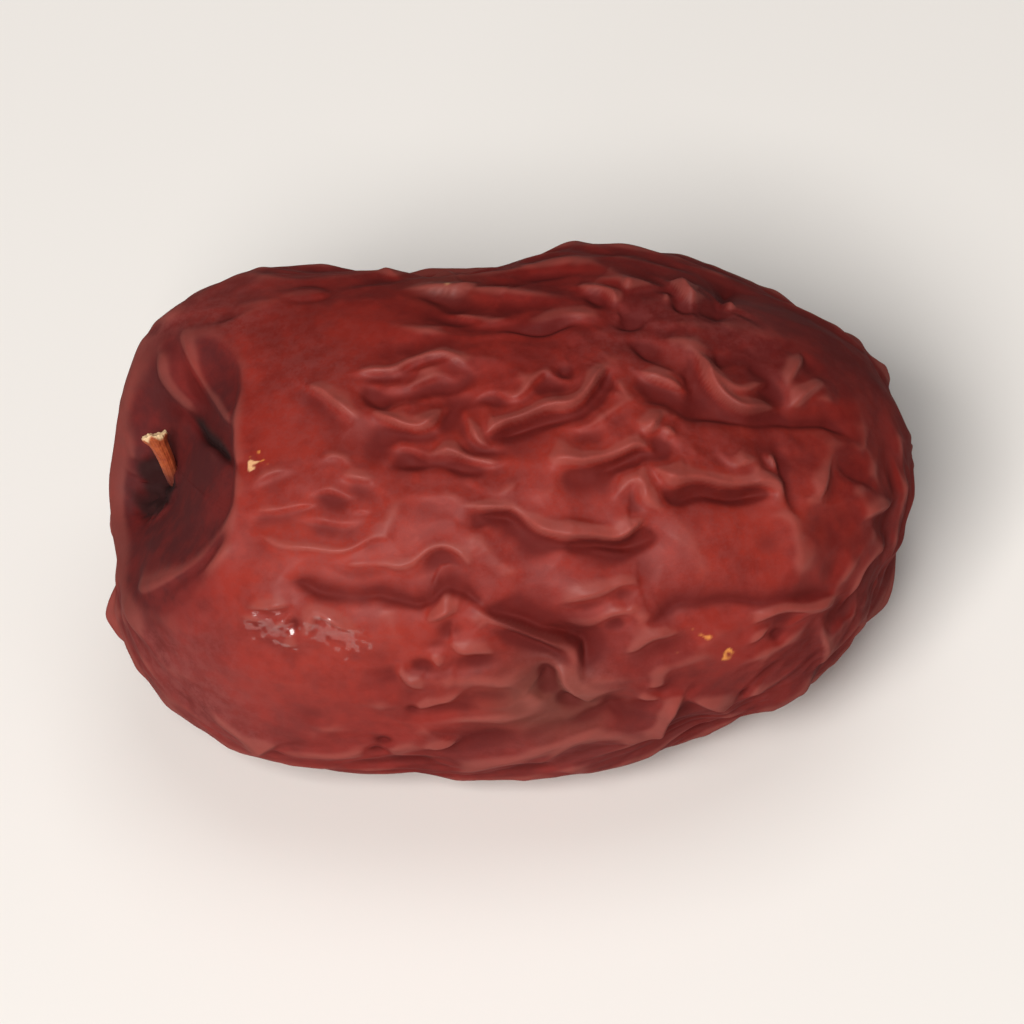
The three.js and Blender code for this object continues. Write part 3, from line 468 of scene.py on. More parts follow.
def even_route(points):
    """Catmull-Rom curve through chosen points, in steps of about FOLD_STEP."""
    q = np.asarray(points, float)
    if len(q) == 2:
        q = np.array([q[0], (q[0] + q[1]) / 2, q[1]])
    q = np.vstack([2 * q[0] - q[1], q, 2 * q[-1] - q[-2]])
    runs = []
    for a, b, c, d in zip(q, q[1:], q[2:], q[3:]):
        steps = max(2, int(np.ceil(np.linalg.norm(c - b) / FOLD_STEP)))
        t = (np.arange(steps) / steps)[:, None]
        square, cube = 2 * a - 5 * b + 4 * c - d, 3 * b - a - 3 * c + d
        runs.append(0.5 * (2 * b + (c - a) * t + square * t**2 + cube * t**3))
    return np.vstack(runs + [q[-2][None]])


def skin_route(points):
    """A fold's route on the plain form, smoothed in the unrolled skin."""
    unrolled = even_route([(x, angle * GIRTH_MM_PER_DEGREE) for x, angle in points])
    return skin_place(unrolled[:, 0], unrolled[:, 1] / GIRTH_MM_PER_DEGREE)


def pit_route(points):
    """A fold's route on the pit's wall, in the plane where the level is the radius."""
    levels, clocks = np.transpose(points)
    a = np.radians(clocks)
    route = even_route(np.column_stack([levels * np.cos(a) * PIT_RIM, levels * np.sin(a) * PIT_RIM]))
    return np.column_stack([route, np.zeros(len(route))])


def fold(p, out, route, width):
    """Height and bed of one fold along its route: the height is 1 on the route, the bed is a hollow
    beside its steep side, away x exp(1 - away). Both rise over the taper at the route's ends."""
    height, bed = np.zeros(len(p)), np.zeros(len(p))
    margin = FOLD_REACH * LONG_FLANK * width
    low, high = route.min(0) - margin, route.max(0) + margin
    close = np.where(((p > low) & (p < high)).all(-1))[0]
    q, n = p[close], out[close]
    nearest, run_there, lean = np.full(len(q), np.inf), np.zeros(len(q)), np.zeros(len(q))
    steps = np.diff(route, axis=0)
    lengths = np.linalg.norm(steps, axis=1)
    runs = np.concatenate([[0], np.cumsum(lengths)])
    for start, step, length, run in zip(route, steps, lengths, runs):
        t = np.clip((q - start) @ step / length**2, 0, 1)
        off = q - start - t[:, None] * step
        distance = np.linalg.norm(off, axis=1)
        closer = distance < nearest
        nearest[closer] = distance[closer]
        run_there[closer] = (run + t * length)[closer]
        sideways = (off * np.cross(step / length, n)).sum(-1) / np.maximum(distance, 1e-6)
        lean[closer] = sideways[closer]
    if route[-1, 0] < route[0, 0]:
        lean = -lean
    taper = min(FOLD_TAPER, TAPER_SHARE * runs[-1])
    to_end = np.minimum(run_there, runs[-1] - run_there)
    share = at_least(FOLD_END_SHARE, rise(0, taper, to_end))
    height[close] = share * pinch(nearest, width, lean)
    away = nearest / BED_AWAY
    bed[close] = share * np.clip(lean, 0, 1) * away * np.exp(1 - away)
    return height, bed


def together(heights):
    """Soft maximum, so that folds that meet don't pile up: the root of the sum of powers."""
    return sum(np.maximum(h, 0) ** JOIN_POWER for h in heights) ** (1 / JOIN_POWER)


def folds(p, out, table, route_of, bed_share):
    """All folds of a table together, with their beds sunk by a share of each fold's height."""
    parts = [(height, fold(p, out, route_of(route), width)) for height, width, route in table]
    crests = together([height * shape for height, (shape, _) in parts])
    return crests - bed_share * together([height * bed for height, (_, bed) in parts])


def seeded_draw(seed):
    """Numbers from 0 to 1, each drawn from the one before."""
    state = seed
    while True:
        state = (state * DRAW_FACTOR + DRAW_STEP) % DRAW_RANGE
        yield state / DRAW_RANGE


def wave_field(p, seed, count, lengths, stretch=1):
    """Sum of plane waves with seeded directions, lengths and phases, stretched along the fruit,
    and its slope."""
    draw = seeded_draw(seed)
    value, slope = np.zeros(len(p)), np.zeros((len(p), 3))
    for _ in range(count):
        up, turn = 2 * next(draw) - 1, 2 * np.pi * next(draw)
        ring = np.sqrt(1 - up * up)
        length = lengths[0] + (lengths[1] - lengths[0]) * next(draw)
        k = np.array([up / stretch, ring * np.cos(turn), ring * np.sin(turn)]) * 2 * np.pi / length
        phase = p @ k + 2 * np.pi * next(draw)
        value += np.sin(phase)
        slope += np.cos(phase)[:, None] * k
    share = np.sqrt(2 / count)
    return value * share, slope * share


def wandering(p, seed, count, lengths):
    """Three wave fields with seeds in a row, as the three parts of a small move."""
    return np.stack([wave_field(p, seed + k, count, lengths)[0] for k in range(3)], -1)


def wrinkles(p, out, seed, lengths, stretch, width, height):
    """Crests of even width along the zero lines of a wave field: the distance from a zero line is
    the field's value over its slope along the skin."""
    value, slope = wave_field(p, seed, WRINKLE_WAVES, lengths, stretch)
    slope = slope - (slope * out).sum(-1, keepdims=True) * out
    across = np.linalg.norm(slope, axis=-1)
    distance = value / np.maximum(across, FLAT_SLOPE)
    return height * pinch(np.abs(distance), width) * np.clip(across / FULL_SLOPE, 0, 1)


def all_wrinkles(p, out, kinds):
    """The seeded wrinkles of several kinds together."""
    return together([wrinkles(p, out, **kind) for kind in kinds])


def facets(p, seed, count, lengths, stretch, height):
    """Crumpled ground with flat sides: the size of a wave field, turned down, so that its zero lines
    are crests and its peaks are hollows."""
    value = wave_field(p, seed, count, lengths, stretch)[0]
    return -height * np.sqrt(value**2 + FACET_ROUNDING)


def skin_grid():
    """Unit vectors of the skin's grid. Rings are evenly spaced along the long profile; columns lie
    closer on the side that is seen; the first pole is moved to the stalk's foot, and the move
    fades along the fruit."""
    u = np.linspace(0, np.pi, PROFILE_STEPS)
    profile = plain_form(np.stack([-np.cos(u), 0 * u, np.sin(u)], -1))
    run = np.concatenate([[0], np.cumsum(np.linalg.norm(np.diff(profile, axis=0), axis=1))])
    u = np.interp(np.linspace(0, run[-1], RINGS + 1), run, u)
    w = np.linspace(0, 2 * np.pi, COLUMNS, endpoint=False) - np.pi / 2
    v = w + np.radians(SEEN_ANGLE) - FOCUS * np.sin(w)
    u, v = np.meshgrid(u, v, indexing="ij")
    foot = direction_at(*STALK_FOOT)
    fade = ((1 + np.cos(u)) / 2) ** POLE_FADE
    across = -np.sin(u) * np.cos(v) + foot[1] / -foot[0] * fade
    up = np.sin(u) * np.sin(v) + foot[2] / -foot[0] * fade
    return unit(np.stack([-np.cos(u), across, up], -1))


def hidden_share(p):
    """0 on the side that is seen best and 1 on the far side, by the angle between them."""
    angle = np.degrees(np.arctan2(p[:, 2], -p[:, 1]))
    away = np.abs((angle - SEEN_ANGLE + 540) % 360 - 180)
    return rise(HIDDEN_FROM, HIDDEN_FULLY, away)


def off_resting_spot(p):
    """0 on the flat spot that the fruit rests on, rising to 1 round its ellipse."""
    on_spot = np.hypot(p[:, 0] / RESTING_SPOT[0], p[:, 1] / RESTING_SPOT[1])
    return np.where(p[:, 2] > 0, 1, rise(1, RESTING_FADE, on_spot))


def chosen_folds(p, q, out, level, clock):
    """Height of the chosen folds less the creases and dents, and the depth of the creases alone.
    q is where the points lie once they have wandered."""
    chosen = CREST_GAIN * folds(q, out, CRESTS, skin_route, BED_SHARE)
    creased = CREASE_GAIN * folds(q, out, CREASES, skin_route, 0)
    radius = level * PIT_RIM
    wall = np.column_stack([radius * np.cos(clock), radius * np.sin(clock), 0 * level])
    facing = np.broadcast_to([0.0, 0.0, 1.0], wall.shape)
    chosen += folds(wall, facing, PIT_CRESTS, pit_route, 0)
    creased += folds(wall, facing, PIT_CREASES, pit_route, 0)
    return chosen - (creased + spots(p, DENTS)), creased


def skin_points(s):
    """Points of the skin at unit vectors, in millimetres about the body's middle, and what the
    skin's colours follow: the plain form, the place in the pit and the depth of the creases. A point
    is the plain form, moved outwards by its height and down the pit's axis by its sink."""
    p = plain_form(s)
    out = outward(p)
    level, clock, reach, flat = pit_place(p)
    sink = pit_shape(level, clock, reach, flat)
    q = p + WOBBLE_SIZE * wandering(p, **WOBBLE)
    chosen, creased = chosen_folds(p, q, out, level, clock)

    off_spot = off_resting_spot(p)
    hidden = hidden_share(p)
    wrinkly = 1 - np.clip(spots(p, SMOOTH_AREAS), 0, SMOOTHEST)
    free = 1 - FOLDS_CLEAR * np.clip(np.abs(chosen) / FOLDS_CLEAR_AT, 0, 1)
    hidden_folds = all_wrinkles(q, out, HIDDEN_WRINKLES) - HIDDEN_SUNK
    open_folds = all_wrinkles(q, out, OPEN_WRINKLES) - OPEN_SUNK
    seeded = hidden * hidden_folds + (1 - hidden) * wrinkly * free * open_folds
    relief = chosen + rise(*WRINKLES_FROM, level) * off_spot * seeded

    from_crater = (flat - FOOT_IN_PIT - CRATER["away"]) / CRATER["size"]
    in_crater = np.where(level < 1, np.exp(-((from_crater**2).sum(-1) ** 2)), 0)
    relief += in_crater * (all_wrinkles(p, out, CRATER_WRINKLES) - CRATER_SUNK)
    crinkles = all_wrinkles(p, out, GLOSS_WRINKLES) + facets(p, **GLOSS_FACETS)
    relief += covered(p, GLOSS_PATCH) * (crinkles + GLOSS_LIFT)
    crumple = sum(facets(p, **kind) for kind in FACETS) + FACETS_LIFT
    relief += crumple * at_least(SMOOTH_FACETS, wrinkly) * rise(*FACETS_FROM, level) * off_spot

    swell = SWELL_HEIGHT * wave_field(p, **SWELL)[0] * off_spot
    ripple_height = (RIPPLE_HEIGHT + HIDDEN_RIPPLE * hidden) * at_least(SMOOTH_RIPPLE, wrinkly)
    ripple = ripple_height * wave_field(p, **RIPPLE)[0]
    grain = GRAIN_HEIGHT * wave_field(p, **GRAIN)[0]
    height = spots(p, LOBES) + relief + swell + (ripple + grain) * off_spot
    points = p + out * height[:, None] - PIT_AXIS * sink[:, None]
    return points, p, (level, clock, flat, creased)


def poles_joined(grid):
    """Grid rows as a vertex list: the first and the last row are single points."""
    inner = grid[1:-1].reshape(-1, *grid.shape[2:])
    return np.concatenate([grid[0, :1], inner, grid[-1, :1]])


def grid_faces(rows, columns, closed):
    """Quads between a grid's rows and triangle fans at both poles, facing outwards. A closed grid's
    last column joins its first."""
    j = np.arange(columns if closed else columns - 1)
    following = (j + 1) % columns
    first = 1 + np.arange(rows - 3)[:, None] * columns
    quads = [first + j, first + columns + j, first + columns + following, first + following]
    last = 1 + (rows - 3) * columns
    first_fan = np.stack([0 * j, 1 + j, 1 + following], -1)
    last_fan = np.stack([last + j, 0 * j + last + columns, last + following], -1)
    return np.stack(quads, -1).reshape(-1, 4).tolist() + first_fan.tolist() + last_fan.tolist()


def eased(grid, step=1):
    """Every point moved to the 1-2-1 mean of its neighbours that many steps away, along and around,
    which takes the teeth off steep folds. The poles stay."""
    around = (np.roll(grid, -step, 1) + 2 * grid + np.roll(grid, step, 1)) / 4
    rows = np.arange(1, len(grid) - 1)
    ahead = around[np.minimum(rows + step, len(grid) - 1)]
    behind = around[np.maximum(rows - step, 0)]
    return np.concatenate([grid[:1], (ahead + 2 * around[1:-1] + behind) / 4, grid[-1:]])


def grid_normals(grid):
    """Outward normals of a closed grid, from the differences between neighbours. A pole takes the
    mean of the ring beside it."""
    along = np.gradient(grid, axis=0)
    around = np.roll(grid, -1, 1) - np.roll(grid, 1, 1)
    normals = unit(np.cross(along[1:-1], around[1:-1]))
    ends = [np.broadcast_to(unit(ring.mean(0)), ring.shape) for ring in (normals[0], normals[-1])]
    return np.concatenate([ends[0][None], normals, ends[1][None]])


def make_piece(name, points, faces, masks, material, node, normals=None):
    """A smooth mesh piece in the row's frame, with its masks as vertex attributes."""
    mesh = bpy.data.meshes.new(name)
    mesh.from_pydata((points * MM).tolist(), [], faces)
    for title, values in masks.items():
        attribute = mesh.attributes.new(title, "FLOAT", "POINT")
        attribute.data.foreach_set("value", values.astype(np.float32))
    mesh.shade_smooth()
    if normals is not None:
        mesh.normals_split_custom_set_from_vertices(normals.tolist())
    mesh.materials.append(material)
    piece = bpy.data.objects.new(name, mesh)
    bpy.context.scene.collection.objects.link(piece)
    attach(piece, "root")
    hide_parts(node)


def standing(grid, normals):
    """How far the skin stands out, in millimetres, from itself eased over about 0.5 mm and over about
    1.2 mm: positive on crests, negative in beds. The body's own roundness is taken off."""
    soft, heights = grid, []
    for steps in (NEAR_EASING, FAR_EASING):
        for step in steps:
            soft = eased(soft, step)
        height = ((grid - soft) * normals).sum(-1)
        heights.append((height - np.median(height)).ravel())
    return heights


# Where the skin's colour and gloss change: x, angle, size, strength
WARM_PLACES = [
    (-12, 54, 4.0, 0.6), (-8, 42, 4, 0.5), (-12, 20, 4.5, 0.5), (-4, 20, 4, 0.3), (-2, 62, 5, 0.4),
    (-12, 98, 4.5, 0.5), (7, 65, 6, 0.5), (16, 62, 5, 0.6), (9, 30, 5, 0.4),
]
# Darker red places: the skin's own darker tone together with painted shade at the top right, round the
# pit's rim and towards the lower right
DUSKY_SHADE_PLACES = [
    (16, 100, 6, 0.8), (9, 118, 5, 0.7), (20, 60, 4, 0.4), (18, -10, 5, 0.6), (8, -15, 4, 0.6),
    (-7, 118, 4, 0.3), (2, 10, 3, 0.4), (-20.5, 125, 3.5, 0.9), (-22, 95, 3.0, 0.8),
]
# Pale pink places: waxy bloom together with a painted sheen where light glances off the skin
BLOOM_SHEEN_PLACES = [
    (-17, 118, 4, 0.8), (-20, 0, 4, 0.7), (-10, 88, 2.5, 0.5), (-17, -20, 4, 0.5), (1, -22, 4, 0.4),
    (12, 108, 3, 0.5), (7, 90, 2, 0.4), (3, 12, 1.6, 0.5),
    (-11, 52, 4.5, 0.35), (0, 52, 6.0, 0.35), (10, 48, 6.0, 0.35), (-9, 30, 4.0, 0.3),
]
WAXY_PLACES = [(-12, 12, 4, 0.25), (-9.5, 100, 3, 0.25)]
PIT_FLUSH = [(-17.7, 101, 0.8, 0.7), (-18.2, 107, 0.8, 0.7)]  # redder between the pit's main folds
BROWN_PLACES = [(0.5, 6, 2.2, 0.9), (2.6, 2, 1.8, 0.8), (-3, 114, 1.3, 0.7)]
PALE_FLECKS = [
    (-14.2, 66.5, 0.20, 1.0), (-13.9, 67.2, 0.18, 0.9), (-13.6, 68.2, 0.15, 0.8), (-3, 113, 0.35, 0.6),
]
AMBER_FLECKS = [
    (-13.9, 68.9, 0.18, 0.9), (-13.4, 67.7, 0.13, 0.8),
    (11.2, 12.5, 0.22, 1.0), (11.6, 14, 0.16, 0.9), (12.2, 8.5, 0.14, 0.8), (10.2, 20, 0.2, 0.7),
    (8.6, 17, 0.15, 0.5), (9.4, 22, 0.12, 0.5),
]

# Where each mask starts and is full
VALLEY_DEPTH, CREST_HEIGHT = (0.02, 0.20), (0.03, 0.16)  # mm under or over the eased skin
VALLEY_NEAR, CREST_NEAR = 0.5, 0.6  # share of the nearer easing in them
# Crease depths where the painted shade of the creases comes in, and in the pit their painted shadow
CREASE_DEPTH, DEEP_CREASE_SHADOW_DEPTH = (0.15, 0.50), (0.35, 0.80)
PIT_EDGE = (0.80, 1.22)  # levels on the rim's soft side
PIT_EDGE_CRISPER = (0.15, -0.17)  # moved by this on its crisp side
CRATER_EDGE = (0.6, 1.2)  # in the crater's own sizes
CRATER_RAGGED = {"seed": 8, "count": 12, "lengths": (1.2, 2.6)}
CRATER_RAGGED_BY = 0.4
SPOT_RAGGED = {"seed": 95, "count": 10, "lengths": (0.5, 1.0)}
FLECK_RAGGED_BY, PATCH_RAGGED_BY = 0.12, 0.35
FLECK_EDGE, PATCH_EDGE = (0.35, 0.75), (0.25, 0.75)
PIT_CREST_LOSS, PIT_BLOOM_SHEEN_LOSS = 0.25, 0.8  # what these lose inside the pit
BROWN_SHARE = 0.6

# Colours, as linear red, green and blue
DEEP_RED, RED = (0.115, 0.0070, 0.0056), (0.195, 0.0125, 0.0090)
WARM_RED = (0.275, 0.0220, 0.0115)
# Darker red, partly painted shade
DUSKY_SHADE_RED = (0.085, 0.0055, 0.0050)
# Pale pink of waxy bloom and painted sheen
BLOOM_SHEEN_PINK = (0.210, 0.048, 0.044)
# Purple-brown skin of the pit, darkened with painted shade of the hollow
PIT_PURPLE_SHADE = (0.066, 0.0090, 0.0095)
# Dark brown of the crater beside the stalk's foot, deepened as painted shade; also painted shadow in the
# pit's deep creases
CRATER_BROWN_SHADE = (0.024, 0.0055, 0.0055)
# Painted shade: deep red laid in the beds beside the folds and in the creases
BED_SHADE_RED = (0.072, 0.0034, 0.0030)
# Painted sheen: pale pink laid on the crests, where light glances off the wax
CREST_SHEEN_PINK = (0.290, 0.070, 0.055)
SCAB_BROWN = (0.120, 0.035, 0.024)
PALE_CORK = (0.62, 0.33, 0.16)
AMBER = (0.60, 0.22, 0.05)
STALK_BROWN, STALK_ORANGE = (0.24, 0.030, 0.009), (0.46, 0.095, 0.020)
# Painted shade on the stub's foot, where it sinks into the pit
STALK_FOOT_SHADE = (0.13, 0.020, 0.010)
TORN_CREAM = (0.76, 0.52, 0.29)
FLOOR_PALE = (0.84, 0.81, 0.78)

# The skin's colour, layer over layer: mask, colour, the mottle that breaks it up, and its strength
# where the mottle is 0 and where it is 1
SKIN_LAYERS = [
    ("warm", WARM_RED, "blotches", 0.55, 1.0),
    # darker red, partly painted shade
    ("dusky_shade", DUSKY_SHADE_RED, "blotches", 0.9, 0.6),
    # waxy bloom and painted sheen
    ("bloom_sheen", BLOOM_SHEEN_PINK, "specks", 0.25, 0.75),
    ("brown", SCAB_BROWN, None, 1.0, 1.0),
    # purple-brown pit with painted shade
    ("pit", PIT_PURPLE_SHADE, "blotches", 0.95, 0.6),
    # painted sheen on the crests
    ("crest", CREST_SHEEN_PINK, None, 0.45, 0.45),
    # painted shade in the beds and creases
    ("valley_shade", BED_SHADE_RED, None, 0.70, 0.70),
    # dark crater deepened as painted shade, and painted shadow in the pit's deep creases
    ("crater", CRATER_BROWN_SHADE, None, 1.0, 1.0),
    ("pale", PALE_CORK, None, 1.0, 1.0),
    ("amber", AMBER, None, 1.0, 1.0),
]
BLOTCHES_SCALE, SPECKS_SCALE, STALK_MOTTLE_SCALE = 260.0, 1500.0, 900.0
SKIN_LINES, STALK_LINES = {"Scale": 1100.0, "Along": 0.7}, {"Scale": 2600.0, "Along": 1.0}
SKIN_BUMP, STALK_BUMP = (0.22, 0.00012), (0.5, 0.0001)  # strength, height in metres
SKIN_ROUGHNESS, STALK_ROUGHNESS = (0.48, 0.58), (0.55, 0.8)
ROUGHER = {"gloss": -0.14, "crest": -0.05, "pit": 0.15, "valley_shade": 0.20, "crater": 0.15}
EDGE_FACING, EDGE_ROUGHER = (0.30, 0.75), 0.42  # skin seen at a flat angle is duller
SKIN_SPECULAR = 0.15
COAT_FROM, COAT_ROUGHNESS = (0.3, 0.9), 0.20
MOTTLE_DETAIL, MOTTLE_ROUGHNESS = (3.0, 5.0), 0.6  # detail of the broad noise and of the fine one
FINE_TIMES, BROAD_SHARE = 4.3, 0.65
MOTTLE_RANGE = (0.36, 0.66)
LINES_DETAIL, LINES_ROUGHNESS, LINES_DISTORTION = 6.0, 0.62, 0.6


def group(name, inputs, output):
    """An empty shader node group with float inputs {name: default} and one float output."""
    tree = bpy.data.node_groups.new(name, "ShaderNodeTree")
    for socket, value in inputs.items():
        made = tree.interface.new_socket(socket, in_out="INPUT", socket_type="NodeSocketFloat")
        made.default_value = value
    tree.interface.new_socket(output, in_out="OUTPUT", socket_type="NodeSocketFloat")
    return tree, tree.nodes.new("NodeGroupInput"), tree.nodes.new("NodeGroupOutput")


def remap(tree, value, low, high, to_low=0.0, to_high=1.0):
    """A value's smooth step from low to high, put between two other numbers."""
    node = tree.nodes.new("ShaderNodeMapRange")
    node.interpolation_type = "SMOOTHSTEP"
    numbers = {"From Min": low, "From Max": high, "To Min": to_low, "To Max": to_high}
    for socket, number in numbers.items():
        node.inputs[socket].default_value = number
    tree.links.new(value, node.inputs["Value"])
    return node.outputs["Result"]


def feed(tree, socket, value):
    """Gives a socket a number, a colour or what another socket puts out."""
    if isinstance(value, (int, float)):
        socket.default_value = value
    elif isinstance(value, tuple):
        socket.default_value = (*value, 1.0)
    else:
        tree.links.new(value, socket)


def calculate(tree, operation, *values):
    """One sum or product of numbers and sockets."""
    node = tree.nodes.new("ShaderNodeMath")
    node.operation = operation
    for socket, value in zip(node.inputs, values):
        feed(tree, socket, value)
    return node.outputs["Value"]


def mix_colour(tree, share, a, b):
    """Colour a where the share is 0, b where it is 1, and their mean by weight between."""
    node = tree.nodes.new("ShaderNodeMix")
    node.data_type = "RGBA"
    for socket, value in zip([s for s in node.inputs if s.enabled], (share, a, b)):
        feed(tree, socket, value)
    return [s for s in node.outputs if s.enabled][0]


def mask(tree, name):
    """A piece's own mask, from its vertex attribute."""
    node = tree.nodes.new("ShaderNodeAttribute")
    node.attribute_name = name
    return node.outputs["Fac"]


def noise(tree, place, scale, detail, roughness):
    """Cloudy noise at a place, its scale taken from a socket."""
    node = tree.nodes.new("ShaderNodeTexNoise")
    node.inputs["Detail"].default_value = detail
    node.inputs["Roughness"].default_value = roughness
    tree.links.new(place, node.inputs["Vector"])
    tree.links.new(scale, node.inputs["Scale"])
    return node


def dried_mottle():
    """Cloudy blotches of two sizes, added by their shares and stretched to a mask from 0 to 1."""
    tree, given, result = group("dried mottle", {"Scale": 300.0}, "Mask")
    place = tree.nodes.new("ShaderNodeTexCoord").outputs["Object"]
    scale = given.outputs["Scale"]
    fine_scale = calculate(tree, "MULTIPLY", scale, FINE_TIMES)
    broad = noise(tree, place, scale, MOTTLE_DETAIL[0], MOTTLE_ROUGHNESS).outputs["Fac"]
    fine = noise(tree, place, fine_scale, MOTTLE_DETAIL[1], MOTTLE_ROUGHNESS).outputs["Fac"]
    both = calculate(tree, "ADD", calculate(tree, "MULTIPLY", broad, BROAD_SHARE),
                     calculate(tree, "MULTIPLY", fine, 1 - BROAD_SHARE))
    tree.links.new(remap(tree, both, *MOTTLE_RANGE), result.inputs["Mask"])
    return tree


def dried_grain():
    """Height of fine shrinkage lines and pores: noise at a place whose x is multiplied by Along,
    which draws it out along the fruit or the stalk."""
    tree, given, result = group("dried grain", {"Scale": 1500.0, "Along": 0.5}, "Height")
    stretched = tree.nodes.new("ShaderNodeVectorMath")
    stretched.operation = "MULTIPLY"
    along = tree.nodes.new("ShaderNodeCombineXYZ")
    tree.links.new(given.outputs["Along"], along.inputs["X"])
    along.inputs["Y"].default_value = 1.0
    along.inputs["Z"].default_value = 1.0
    tree.links.new(tree.nodes.new("ShaderNodeTexCoord").outputs["Object"], stretched.inputs[0])
    tree.links.new(along.outputs["Vector"], stretched.inputs[1])
    place, scale = stretched.outputs["Vector"], given.outputs["Scale"]
    lines = noise(tree, place, scale, LINES_DETAIL, LINES_ROUGHNESS)
    lines.inputs["Distortion"].default_value = LINES_DISTORTION
    tree.links.new(lines.outputs["Fac"], result.inputs["Height"])
    return tree


def place_group(tree, node_group, **values):
    """A node group placed in a material with its own values, and what it puts out."""
    node = tree.nodes.new("ShaderNodeGroup")
    node.node_tree = node_group
    for socket, value in values.items():
        node.inputs[socket].default_value = value
    return node.outputs[0]


def new_material(name):
    """A new material, its nodes and its shader."""
    material = bpy.data.materials.new(name)
    material.use_nodes = True
    tree = material.node_tree
    return material, tree, tree.nodes["Principled BSDF"]


def bump(tree, height, strength, distance):
    """The normal that a height gives the surface."""
    node = tree.nodes.new("ShaderNodeBump")
    node.inputs["Strength"].default_value = strength
    node.inputs["Distance"].default_value = distance
    tree.links.new(height, node.inputs["Height"])
    return node.outputs["Normal"]


def skin_material(mottle, grain):
    """Dark red waxy skin: warmer places, duskier places partly of painted shade, a brown-purple pit
    deepened by painted shade, painted shade in the valleys and creases, painted sheen on the crests and
    in pale pink places.
    """
    material, tree, shader = new_material("dried jujube skin")
    mottles = {
        "blotches": place_group(tree, mottle, Scale=BLOTCHES_SCALE),
        "specks": place_group(tree, mottle, Scale=SPECKS_SCALE),
    }
    colour = mix_colour(tree, mottles["blotches"], DEEP_RED, RED)
    for name, paint, broken_by, at_dark, at_light in SKIN_LAYERS:
        strength = at_light
        if broken_by:
            strength = remap(tree, mottles[broken_by], 0.0, 1.0, at_dark, at_light)
        colour = mix_colour(tree, calculate(tree, "MULTIPLY", mask(tree, name), strength), colour, paint)
    tree.links.new(colour, shader.inputs["Base Color"])
    rough = remap(tree, mottles["specks"], 0.0, 1.0, *SKIN_ROUGHNESS)
    for name, change in ROUGHER.items():
        rough = calculate(tree, "ADD", rough, calculate(tree, "MULTIPLY", mask(tree, name), change))
    edge = tree.nodes.new("ShaderNodeLayerWeight").outputs["Facing"]
    rough = calculate(tree, "ADD", rough, remap(tree, edge, *EDGE_FACING, 0.0, EDGE_ROUGHER))
    tree.links.new(rough, shader.inputs["Roughness"])
    lines = place_group(tree, grain, **SKIN_LINES)
    tree.links.new(bump(tree, lines, *SKIN_BUMP), shader.inputs["Normal"])
    shader.inputs["Specular IOR Level"].default_value = SKIN_SPECULAR
    tree.links.new(remap(tree, mask(tree, "gloss"), *COAT_FROM), shader.inputs["Coat Weight"])
    shader.inputs["Coat Roughness"].default_value = COAT_ROUGHNESS
    return material


def stalk_material(mottle, grain):
    """Dry orange-brown fibres with a pale torn end, and painted shade at the foot where it sinks into
    the pit.
    """
    material, tree, shader = new_material("dried stalk")
    blotches = place_group(tree, mottle, Scale=STALK_MOTTLE_SCALE)
    colour = mix_colour(tree, blotches, STALK_BROWN, STALK_ORANGE)
    # painted shade on the foot
    colour = mix_colour(tree, mask(tree, "foot"), colour, STALK_FOOT_SHADE)
    colour = mix_colour(tree, mask(tree, "torn"), colour, TORN_CREAM)
    tree.links.new(colour, shader.inputs["Base Color"])
    tree.links.new(remap(tree, blotches, 0.0, 1.0, *STALK_ROUGHNESS), shader.inputs["Roughness"])
    lines = place_group(tree, grain, **STALK_LINES)
    tree.links.new(bump(tree, lines, *STALK_BUMP), shader.inputs["Normal"])
    return material


def skin_masks(plain, level, clock, flat, creased, near, far):
    """What the skin's colours and gloss follow, each from 0 to 1 at every point."""
    crisp = crisp_side(clock)
    low, high = [edge + change * crisp for edge, change in zip(PIT_EDGE, PIT_EDGE_CRISPER)]
    inner = 1 - rise(low, high, level)
    ragged = wandering(plain, **SPOT_RAGGED)
    flecked = plain + FLECK_RAGGED_BY * ragged
    patch = rise(*PATCH_EDGE, spots(plain + PATCH_RAGGED_BY * ragged, GLOSS_PATCH))
    from_crater = np.linalg.norm(flat - FOOT_IN_PIT - CRATER["away"], axis=-1)
    from_crater = from_crater + CRATER_RAGGED_BY * wave_field(plain, **CRATER_RAGGED)[0]
    crater = inner * (1 - rise(*[CRATER["size"] * edge for edge in CRATER_EDGE], from_crater))
    # Painted shade where the skin lies under its eased self, painted sheen where it stands over it
    valley_shade = rise(*VALLEY_DEPTH, -VALLEY_NEAR * near - (1 - VALLEY_NEAR) * far)
    crest = rise(*CREST_HEIGHT, CREST_NEAR * near + (1 - CREST_NEAR) * far)
    return {
        # painted shade in the beds and the creases, except on the glossy patch
        "valley_shade": np.maximum(valley_shade, rise(*CREASE_DEPTH, creased)) * (1 - patch),
        # painted sheen on the crests, weaker inside the pit
        "crest": crest * (1 - PIT_CREST_LOSS * inner),
        # purple-brown pit with painted shade, except between its main folds
        "pit": inner * (1 - covered(plain, PIT_FLUSH)),
        # the crater with painted shade, and painted shadow in the pit's deep creases
        "crater": np.maximum(crater, inner * rise(*DEEP_CREASE_SHADOW_DEPTH, creased)),
        "warm": covered(plain, WARM_PLACES) * (1 - inner),
        # darker red, partly painted shade
        "dusky_shade": covered(plain, DUSKY_SHADE_PLACES) * (1 - inner),
        # waxy bloom and painted sheen, mostly kept out of the pit
        "bloom_sheen": covered(plain, BLOOM_SHEEN_PLACES) * (1 - PIT_BLOOM_SHEEN_LOSS * inner),
        "brown": covered(plain, BROWN_PLACES) * BROWN_SHARE,
        "gloss": np.maximum(patch, spots(plain, WAXY_PLACES)),
        "pale": rise(*FLECK_EDGE, spots(flecked, PALE_FLECKS)),
        "amber": rise(*FLECK_EDGE, spots(flecked, AMBER_FLECKS)),
    }


